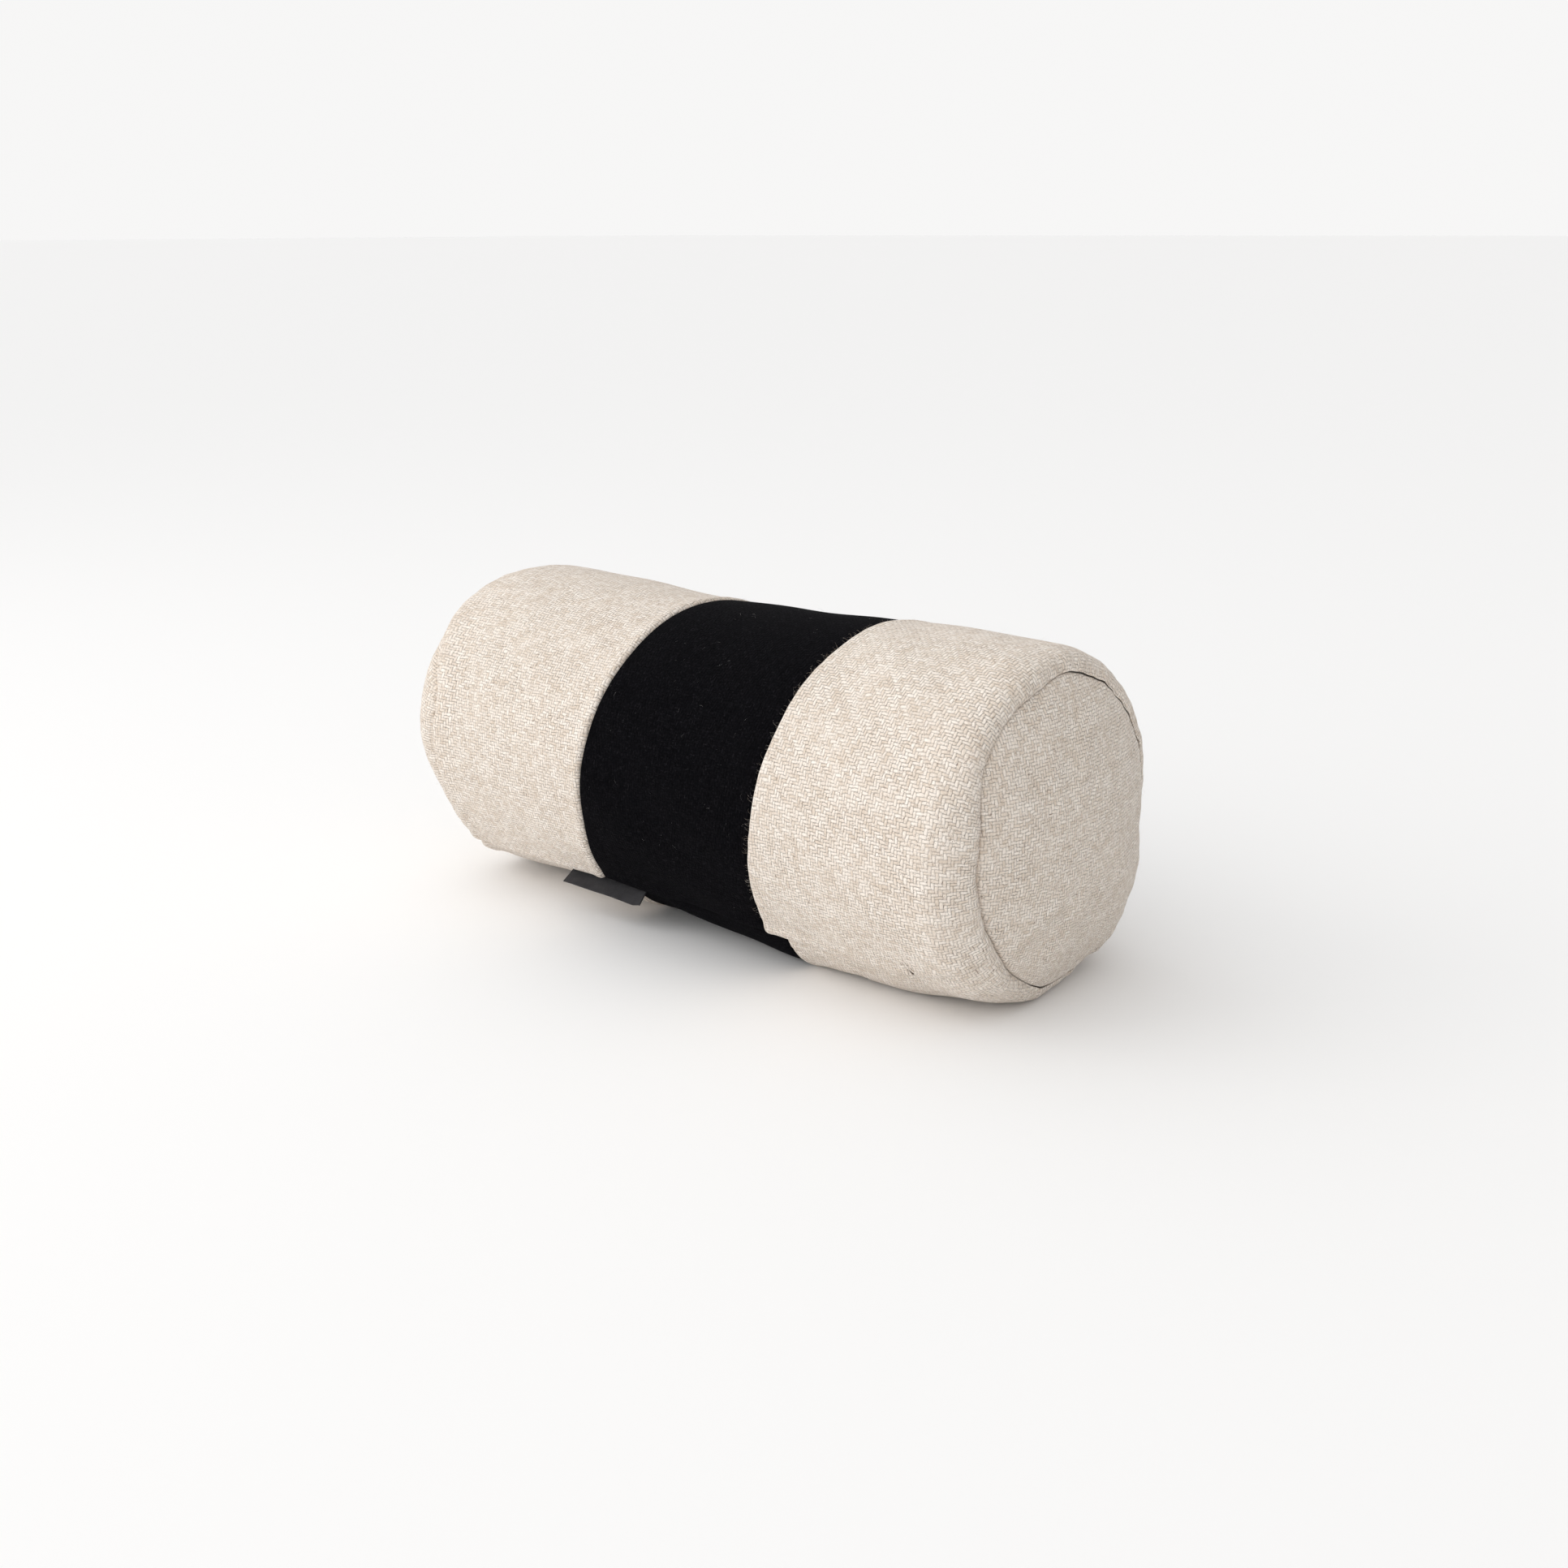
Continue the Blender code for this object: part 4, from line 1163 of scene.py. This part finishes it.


# %% [markdown]
# The wools, the tab, the zip's tape and the cotton are all woven, so the weave is one
# node group with its own inputs. A 2/2 twill passes each yarn over two and under two,
# one step further along on each row, which draws slanting lines. Turning the slant round
# after some yarns gives a herringbone. The group puts out the height of the yarns, a
# number that differs from float to float, and a mask of the gaps for painted shade.


# %% Build the twill weave
def build_twill():
    group, given, result = new_group(
        "twill_weave",
        [
            ("Flat cloth", "NodeSocketVector", None),
            ("Pitch", "NodeSocketFloat", 0.0017),
            ("Turn after", "NodeSocketFloat", 1000.0),
            ("Unevenness", "NodeSocketFloat", 0.3),
        ],
        [("Height", "NodeSocketFloat"), ("Float number", "NodeSocketFloat"), ("Gap shade", "NodeSocketFloat")],
    )
    n = Tree(group)
    place = n.node("ShaderNodeSeparateXYZ", {0: given["Flat cloth"]}).outputs
    drift_x = n.math("SUBTRACT", n.noise(given["Flat cloth"], 160.0, 2.0), 0.5)
    shifted = n.node("ShaderNodeVectorMath", {0: given["Flat cloth"], 1: (3.1, 5.7, 0.0)}, operation="ADD")
    drift_y = n.math("SUBTRACT", n.noise(shifted.outputs[0], 160.0, 2.0), 0.5)
    u = n.math("MULTIPLY_ADD", drift_x, given["Unevenness"], n.math("DIVIDE", place[0], given["Pitch"]))
    v = n.math("MULTIPLY_ADD", drift_y, given["Unevenness"], n.math("DIVIDE", place[1], given["Pitch"]))
    i, j = n.math("FLOOR", u), n.math("FLOOR", v)
    fu, fv = n.math("FRACT", u), n.math("FRACT", v)
    slant = n.math("PINGPONG", i, given["Turn after"])
    whole_turn = n.math("MULTIPLY", given["Turn after"], 2.0)
    rising = n.math("LESS_THAN", n.math("FLOORED_MODULO", i, whole_turn), given["Turn after"])
    diagonal = n.math("ADD", j, slant)
    phase = n.math("FLOORED_MODULO", diagonal, 4.0)
    over = n.math("LESS_THAN", phase, 1.5)
    run_v = n.math("SINE", n.math("MULTIPLY", n.math("ADD", phase, fv), math.pi / 2))
    turned_fu = n.mix(rising, n.math("SUBTRACT", 1.0, fu), fu)
    from_under = n.math("ADD", n.math("SUBTRACT", phase, 2.0), turned_fu)
    run_u = n.math("SINE", n.math("MULTIPLY", from_under, math.pi / 2))
    round_u, round_v = (
        n.math("SQRT", n.math("ABSOLUTE", n.math("SINE", n.math("MULTIPLY", f, math.pi)))) for f in (fu, fv)
    )
    lift_u, lift_v = (
        n.math("MULTIPLY_ADD", n.math("ABSOLUTE", run), 0.55, 0.45) for run in (run_u, run_v)
    )
    warp, weft = n.math("MULTIPLY", round_u, lift_v), n.math("MULTIPLY", round_v, lift_u)
    height = n.mix(over, weft, warp)
    n.feed(result["Height"], height)
    float_row = n.math("FLOOR", n.math("DIVIDE", diagonal, 4.0))
    which = n.node("ShaderNodeCombineXYZ", {0: n.mix(over, j, i), 1: float_row, 2: over}).outputs[0]
    number = n.node("ShaderNodeTexWhiteNoise", {"Vector": which}, noise_dimensions="3D").outputs["Value"]
    n.feed(result["Float number"], number)
    # The gap mask marks the low parts between the yarns, where the wools paint shade.
    n.feed(result["Gap shade"], n.math("SUBTRACT", 1.0, n.spread(height, 0.10, 0.62)))
    return group


twill = build_twill()
print("twill nodes:", len(twill.nodes))

# %% [markdown]
# Heather yarn is spun from fibres of several colours, so the cloth is flecked at three
# sizes: cloudy patches as wide as a thumb, streaks along the yarns, and single fibres.
# Felting then lays a fuzz over the weave, in some places enough to hide it.

# %% Build the heather colour and the felt
def build_heather():
    group, given, result = new_group(
        "heather_yarn",
        [
            ("Flat cloth", "NodeSocketVector", None),
            ("Float number", "NodeSocketFloat", 0.5),
            ("Light", "NodeSocketColor", (0.8, 0.7, 0.6, 1)),
            ("Middle", "NodeSocketColor", (0.7, 0.6, 0.5, 1)),
            ("Fleck", "NodeSocketColor", (0.4, 0.3, 0.25, 1)),
            ("Flecks", "NodeSocketFloat", 0.5),
        ],
        [("Color", "NodeSocketColor"), ("Fleck mask", "NodeSocketFloat")],
    )
    n = Tree(group)
    cloth = given["Flat cloth"]
    along = n.node("ShaderNodeMapping", {"Vector": cloth, "Scale": (1.0, 0.32, 1.0)}).outputs[0]
    across = n.node(
        "ShaderNodeMapping", {"Vector": cloth, "Scale": (0.30, 1.0, 1.0), "Location": (0.7, 0.3, 0.0)}
    ).outputs[0]
    clouds = n.spread(n.noise(cloth, 95.0, 3.0, 0.6), 0.36, 0.66)
    streaks = n.math("ADD", n.noise(along, 1150.0, 2.0, 0.6), n.noise(across, 1150.0, 2.0, 0.6))
    streaks = n.math("MULTIPLY_ADD", given["Float number"], 0.30, n.math("SUBTRACT", streaks, 0.15))
    tone = n.math("MULTIPLY", n.spread(streaks, 0.78, 1.28), 0.48)
    tone = n.math("ADD", n.math("MULTIPLY", clouds, 0.22), tone)
    tone = n.math("MULTIPLY_ADD", given["Float number"], 0.34, tone)
    base = n.mix(tone, given["Light"], given["Middle"], "RGBA")
    flecks = n.math(
        "MAXIMUM", n.spread(n.noise(along, 1500.0, 3.0, 0.75, 0.6), 0.56, 0.68),
        n.spread(n.noise(across, 1500.0, 3.0, 0.75, 0.6), 0.57, 0.69),
    )
    thick = n.spread(n.noise(cloth, 210.0, 2.0, 0.6), 0.38, 0.62)
    patchy = n.math("MULTIPLY", flecks, n.math("MULTIPLY_ADD", thick, 0.75, 0.25))
    mask = n.math("MULTIPLY", patchy, given["Flecks"])
    n.feed(result["Color"], n.mix(mask, base, given["Fleck"], "RGBA"))
    n.feed(result["Fleck mask"], mask)
    return group


def build_felt():
    group, given, result = new_group(
        "felted_nap",
        [("Flat cloth", "NodeSocketVector", None), ("Weave height", "NodeSocketFloat", 0.5),
         ("Felting", "NodeSocketFloat", 0.5)],
        [("Height", "NodeSocketFloat"), ("Cover", "NodeSocketFloat")],
    )
    n = Tree(group)
    cloth = given["Flat cloth"]
    patch = n.spread(n.noise(cloth, 48.0, 3.0, 0.55), 0.34, 0.66)
    cover = n.math("MULTIPLY", n.math("MULTIPLY_ADD", patch, 0.55, 0.45), given["Felting"])
    fuzz = n.noise(cloth, 2600.0, 3.0, 0.7, 1.2)
    lumps = n.noise(cloth, 620.0, 2.0, 0.5)
    soft = n.math("ADD", n.math("MULTIPLY", fuzz, 0.55), n.math("MULTIPLY", lumps, 0.45))
    n.feed(result["Height"], n.mix(cover, given["Weave height"], soft))
    n.feed(result["Cover"], cover)
    return group


heather, felt = build_heather(), build_felt()

# %% [markdown]
# ## The materials
#
# Wool scatters light from a haze of fibres, which the sheen setting stands for. The
# weave's height goes to a bump node, its gaps get a little painted shade in the colour,
# and the felting softens both. The black wool uses the same groups with its own values.


# %% Make the wools
YARN_PITCH = 0.00165
STRAIGHT_TWILL, HERRINGBONE = 1000.0, 9.0


def start_material(name, roughness, **constants):
    made = bpy.data.materials.new(name)
    made.use_nodes = True
    shader = made.node_tree.nodes["Principled BSDF"]
    shader.inputs["Roughness"].default_value = roughness
    for key, value in constants.items():
        shader.inputs[key.replace("_", " ")].default_value = value
    return made, Tree(made.node_tree), shader


def make_wool(name, light, middle, fleck, flecks, gap, felting, bump, turn_after, **constants):
    made, n, shader = start_material(name, 0.92, **constants)
    cloth = n.node("ShaderNodeUVMap", uv_map="cloth").outputs[0]
    weave = n.node(
        "ShaderNodeGroup",
        {"Flat cloth": cloth, "Pitch": YARN_PITCH, "Turn after": turn_after, "Unevenness": 1.15},
        node_tree=twill,
    )
    nap = n.node(
        "ShaderNodeGroup", {"Flat cloth": cloth, "Weave height": weave.outputs["Height"], "Felting": felting},
        node_tree=felt,
    )
    yarn = n.node(
        "ShaderNodeGroup",
        {"Flat cloth": cloth, "Float number": weave.outputs["Float number"], "Light": light,
         "Middle": middle, "Fleck": fleck, "Flecks": flecks},
        node_tree=heather,
    )
    # Painted shade: the weave's gaps darken the base colour, less where the felt covers them.
    shadow = n.math("MULTIPLY", weave.outputs["Gap shade"], n.math("SUBTRACT", 1.0, nap.outputs["Cover"]))
    shade = n.math("SUBTRACT", 1.0, n.math("MULTIPLY", shadow, gap))
    grey = n.node("ShaderNodeCombineColor", {0: shade, 1: shade, 2: shade}).outputs[0]
    n.feed(shader.inputs["Base Color"], n.mix(1.0, yarn.outputs["Color"], grey, "RGBA", "MULTIPLY"))
    n.emboss(shader, bump, 0.0007, nap.outputs["Height"])
    return made


# gap sets how much painted shade the weave's gaps get.
CREAM = dict(
    light=(0.98, 0.905, 0.825, 1), middle=(0.74, 0.63, 0.525, 1), fleck=(0.29, 0.205, 0.150, 1), flecks=1.0,
    gap=0.74, felting=0.42, bump=1.0, Sheen_Weight=0.30, Sheen_Roughness=0.45,
    Sheen_Tint=(1.0, 0.96, 0.92, 1), Specular_IOR_Level=0.15,
)
cream_wool = make_wool("cream_felted_twill", turn_after=STRAIGHT_TWILL, **CREAM)
disc_wool = make_wool("cream_felted_herringbone", turn_after=HERRINGBONE, **CREAM)
# The black wool's weave gaps get painted shade too.
black_wool = make_wool(
    "black_felted_twill", light=(0.0034, 0.0032, 0.0042, 1), middle=(0.0016, 0.0015, 0.0021, 1),
    fleck=(0.024, 0.022, 0.026, 1), flecks=0.8, gap=0.7, felting=0.55, bump=0.9, turn_after=STRAIGHT_TWILL,
    Sheen_Weight=0.008, Sheen_Roughness=0.4, Sheen_Tint=(0.7, 0.7, 0.85, 1), Specular_IOR_Level=0.03,
)


# %% [markdown]
# The hairs are too thin to show a weave, but their colour still varies from one to the
# next, from white to tan. The tab is a shiny ribbon with fine ribs, the casing is plain
# cotton, and the filling is a white haze of polyester.

# %% Make the hair, ribbon, cotton and fibre materials
def make_hair_material(name, light, dark):
    made, n, shader = start_material(name, 0.8, Sheen_Weight=0.2)
    place = n.node("ShaderNodeTexCoord").outputs["Object"]
    tone = n.spread(n.noise(place, 420.0, 1.0), 0.35, 0.65)
    n.feed(shader.inputs["Base Color"], n.mix(tone, light, dark, "RGBA"))
    return made


def make_ribbon(name, light, dark, pitch, rib, roughness, **constants):
    """A fine, close weave, ribbed along one direction, with painted shade in its hollows."""
    made, n, shader = start_material(name, roughness, **constants)
    cloth = n.node("ShaderNodeUVMap", uv_map="cloth").outputs[0]
    weave = n.node(
        "ShaderNodeGroup", {"Flat cloth": cloth, "Pitch": pitch, "Turn after": 1.0, "Unevenness": 0.12},
        node_tree=twill,
    )
    ribs = n.node("ShaderNodeSeparateXYZ", {0: cloth}).outputs[1]
    wave = n.math("MULTIPLY_ADD", n.math("SINE", n.math("MULTIPLY", ribs, math.tau / rib)), 0.5, 0.5)
    height = n.mix(0.35, weave.outputs["Height"], wave)
    wear = n.spread(n.noise(cloth, 260.0, 3.0, 0.6), 0.35, 0.7)
    # Painted shade: the colour follows the weave's height, darker in the hollows between the yarns, mixed
    # with a random mottle.
    tone = n.math("MULTIPLY_ADD", weave.outputs["Height"], 0.6, n.math("MULTIPLY", wear, 0.4))
    n.feed(shader.inputs["Base Color"], n.mix(tone, dark, light, "RGBA"))
    n.emboss(shader, 0.4, 0.0002, height)
    return made


cream_hair = make_hair_material("cream_hair", (0.88, 0.82, 0.74, 1), (0.62, 0.50, 0.40, 1))
lint_hair = make_hair_material("lint_hair", (0.55, 0.53, 0.52, 1), (0.09, 0.09, 0.09, 1))
tab_ribbon = make_ribbon(
    "tab_ribbon", (0.027, 0.026, 0.030, 1), (0.010, 0.0095, 0.011, 1), 0.00034, 0.0009, 0.6,
    Sheen_Weight=0.08, Specular_IOR_Level=0.25,
)
care_ribbon = make_ribbon("care_ribbon", (0.82, 0.82, 0.80, 1), (0.62, 0.62, 0.60, 1), 0.0003, 0.0008, 0.5)
casing_cotton = make_ribbon(
    "casing_cotton", (0.84, 0.82, 0.78, 1), (0.60, 0.58, 0.54, 1), 0.0005, 0.0012, 0.85
)


def make_fibre_material(name):
    made, n, shader = start_material(name, 0.75, Sheen_Weight=0.5)
    place = n.node("ShaderNodeTexCoord").outputs["Object"]
    strands = n.noise(place, 620.0, 4.0, 0.7, 2.5)
    tufts = n.noise(place, 90.0, 3.0, 0.5)
    # Painted shade: the white fibre turns grey where its strands and tufts are low, the same strands that
    # make its bump.
    tone = n.math("MULTIPLY", n.spread(strands, 0.35, 0.65), n.math("MULTIPLY_ADD", tufts, 0.5, 0.5))
    n.feed(shader.inputs["Base Color"], n.mix(tone, (0.66, 0.66, 0.65, 1), (0.93, 0.93, 0.92, 1), "RGBA"))
    n.emboss(shader, 0.7, 0.002, strands)
    return made


fibre_haze = make_fibre_material("fibre_haze")

# %% [markdown]
# The zip keeps its mechanical shapes. They have no flat-cloth map, so their patterns
# read the object's own coordinates, turned so that one axis runs along the tape and
# one across it. Its teeth are moulded plastic with a satin face, and the slider is cast
# and painted black, worn to bright metal where fingers and the tape rub it.

# %% Make the zip's materials
def zip_coordinates(n):
    """Object coordinates turned into the tape's own: along it, up it and out of it."""
    place = n.node("ShaderNodeTexCoord").outputs["Object"]
    angle = -(math.pi / 2 + ZIP_ANGLE)
    turned = n.node("ShaderNodeVectorRotate", {"Vector": place, "Angle": angle}, rotation_type="X_AXIS")
    return turned.outputs[0]


def make_tape(name):
    made, n, shader = start_material(name, 0.8, Sheen_Weight=0.1)
    cloth = zip_coordinates(n)
    weave = n.node(
        "ShaderNodeGroup", {"Flat cloth": cloth, "Pitch": 0.00045, "Turn after": 4.0, "Unevenness": 0.1},
        node_tree=twill,
    )
    wear = n.noise(cloth, 300.0, 3.0, 0.6)
    # Painted shade: the tape's colour is darker where the weave is low, with a random mottle.
    tone = n.math("MULTIPLY", weave.outputs["Height"], n.math("MULTIPLY_ADD", wear, 0.6, 0.6))
    n.feed(shader.inputs["Base Color"], n.mix(tone, (0.30, 0.26, 0.22, 1), (0.74, 0.67, 0.59, 1), "RGBA"))
    n.emboss(shader, 0.5, 0.0002, weave.outputs["Height"])
    return made


def make_hard(name, base, worn, metallic, worn_metallic, roughness, wear_scale, wear_share):
    """Plastic or painted metal: fine grain, small scratches and rubbed patches."""
    made, n, shader = start_material(name, roughness)
    place = zip_coordinates(n)
    stretched = n.node("ShaderNodeMapping", {"Vector": place, "Scale": (0.15, 1.0, 1.0)}).outputs[0]
    scratches = n.spread(n.noise(stretched, 5200.0, 2.0, 0.6), 0.60, 0.70)
    patches = n.spread(n.noise(place, wear_scale, 4.0, 0.65), 0.55, 0.70)
    rubbed = n.math("MULTIPLY", n.math("MAXIMUM", n.math("MULTIPLY", scratches, 0.5), patches), wear_share)
    n.feed(shader.inputs["Base Color"], n.mix(rubbed, base, worn, "RGBA"))
    n.feed(shader.inputs["Metallic"], n.mix(rubbed, metallic, worn_metallic))
    n.feed(shader.inputs["Roughness"], n.mix(n.noise(place, 1500.0, 2.0), roughness - 0.1, roughness + 0.12))
    n.emboss(shader, 0.15, 0.0001, n.noise(place, 4200.0, 2.0))
    return made


tape_weave = make_tape("zip_tape_weave")
tooth_plastic = make_hard(
    "tooth_plastic", (0.62, 0.56, 0.49, 1), (0.74, 0.70, 0.64, 1), 0.0, 0.0, 0.42, 500.0, 0.6
)
slider_paint = make_hard(
    "slider_paint", (0.022, 0.021, 0.022, 1), (0.45, 0.44, 0.43, 1), 0.1, 1.0, 0.38, 700.0, 0.7
)
print(len(bpy.data.materials), "materials")


# %% [markdown]
# ## Dress the pieces
#
# Each piece is given its finish, and the part of the mechanical model it stands for is
# hidden. The cover, its hairs and all that is inside it ride on the cover's body. The
# lap's three lengths ride on no body: their shapes are only moved into world space.

# %% Give every piece its finish, and all but the lap a body
def dress(obj, finish, nodes=(), body="cover"):
    obj.data.materials.clear()
    obj.data.materials.append(finish)
    if nodes:
        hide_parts(*nodes)
    if body:
        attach(obj, body)


for piece, finish, slot_name, node in (
    (left_cover, cream_wool, "cream_wool", "left_panel"),
    (band_cover, black_wool, "black_wool", "centre_band"),
    (right_cover, cream_wool, "cream_wool", "right_panel"),
    (left_disc, disc_wool, "cream_wool", "left_end_disc"),
    (right_disc, disc_wool, "cream_wool", "right_end_disc"),
    (tab, tab_ribbon, "label_weave", "side_label"),
    (care, care_ribbon, "care_weave", "care_label"),
    (casing_tube, casing_cotton, "casing_cotton", "casing_tube"),
    (casing_left, casing_cotton, "casing_cotton", "casing_end_left"),
    (casing_right, casing_cotton, "casing_cotton", "casing_end_right"),
    (fibre, fibre_haze, "fill_fibre", "fibre_fill"),
):
    dress(piece, finish, [node])
for hairs in (nap, fray, fuzz):
    dress(hairs, cream_hair)
dress(lint, lint_hair)


for piece, finish, slot_name, node in (
    (left_fold, cream_wool, "cream_wool", "left_lap"),
    (band_fold, black_wool, "black_wool", "centre_lap"),
    (right_fold, cream_wool, "cream_wool", "right_lap"),
):
    dress(piece, finish, [node], body=None)
    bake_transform(piece)

for nodes, finish in (
    (("zip_tape_upper", "zip_tape_lower"), tape_weave),
    (("zip_teeth_upper", "zip_teeth_lower"), tooth_plastic),
    (("top_stop_upper", "top_stop_lower", "bottom_stop", "zip_slider", "zip_pull"), slider_paint),
):
    for node in nodes:
        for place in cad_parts[node].material_slots:
            place.material = finish

# %% [markdown]
# ## Light and floor
#
# A pale floor, a white surround that glows more on the front left, and one large soft
# light on the same side: the front is brightest and the right end is in gentle shade.

# %% Light the pillow
deselect()
bpy.ops.mesh.primitive_plane_add(size=120)
floor = bpy.context.object
floor.name = "studio_floor"
floor_finish, floor_nodes, floor_shader = start_material("studio_floor", 0.9, Specular_IOR_Level=0.1)
floor_shader.inputs["Base Color"].default_value = (0.95, 0.95, 0.95, 1)
floor.data.materials.append(floor_finish)

world = bpy.data.worlds.new("studio_surround")
bpy.context.scene.world = world
world.use_nodes = True
surround = Tree(world.node_tree)
background = world.node_tree.nodes["Background"]
background.inputs["Color"].default_value = (1.0, 0.995, 0.99, 1)
direction = surround.node("ShaderNodeTexCoord").outputs["Generated"]
facing = surround.node(
    "ShaderNodeVectorMath", {0: direction, 1: (-0.60, -0.72, 0.35)}, operation="DOT_PRODUCT"
).outputs["Value"]
glow = surround.math("MULTIPLY_ADD", facing, 0.62, 0.80)
seen = surround.node("ShaderNodeLightPath").outputs["Is Camera Ray"]
surround.feed(background.inputs["Strength"], surround.mix(seen, glow, 0.93))


def add_soft_light(name, place, towards, size, power, colour):
    bpy.ops.object.light_add(type="AREA", location=place)
    lamp = bpy.context.object
    lamp.name = name
    away = np.array(place) - np.array(towards)
    flat = math.hypot(away[0], away[1])
    lamp.rotation_euler = (math.atan2(flat, away[2]), 0, math.atan2(away[0], -away[1]))
    lamp.data.size = size
    lamp.data.energy = power
    lamp.data.color = colour


add_soft_light("key_softbox", (-1.00, -1.20, 1.00), (0, 0, AXIS), 1.2, 5.0, (1.0, 0.97, 0.94))
bpy.context.scene.view_settings.view_transform = "Standard"
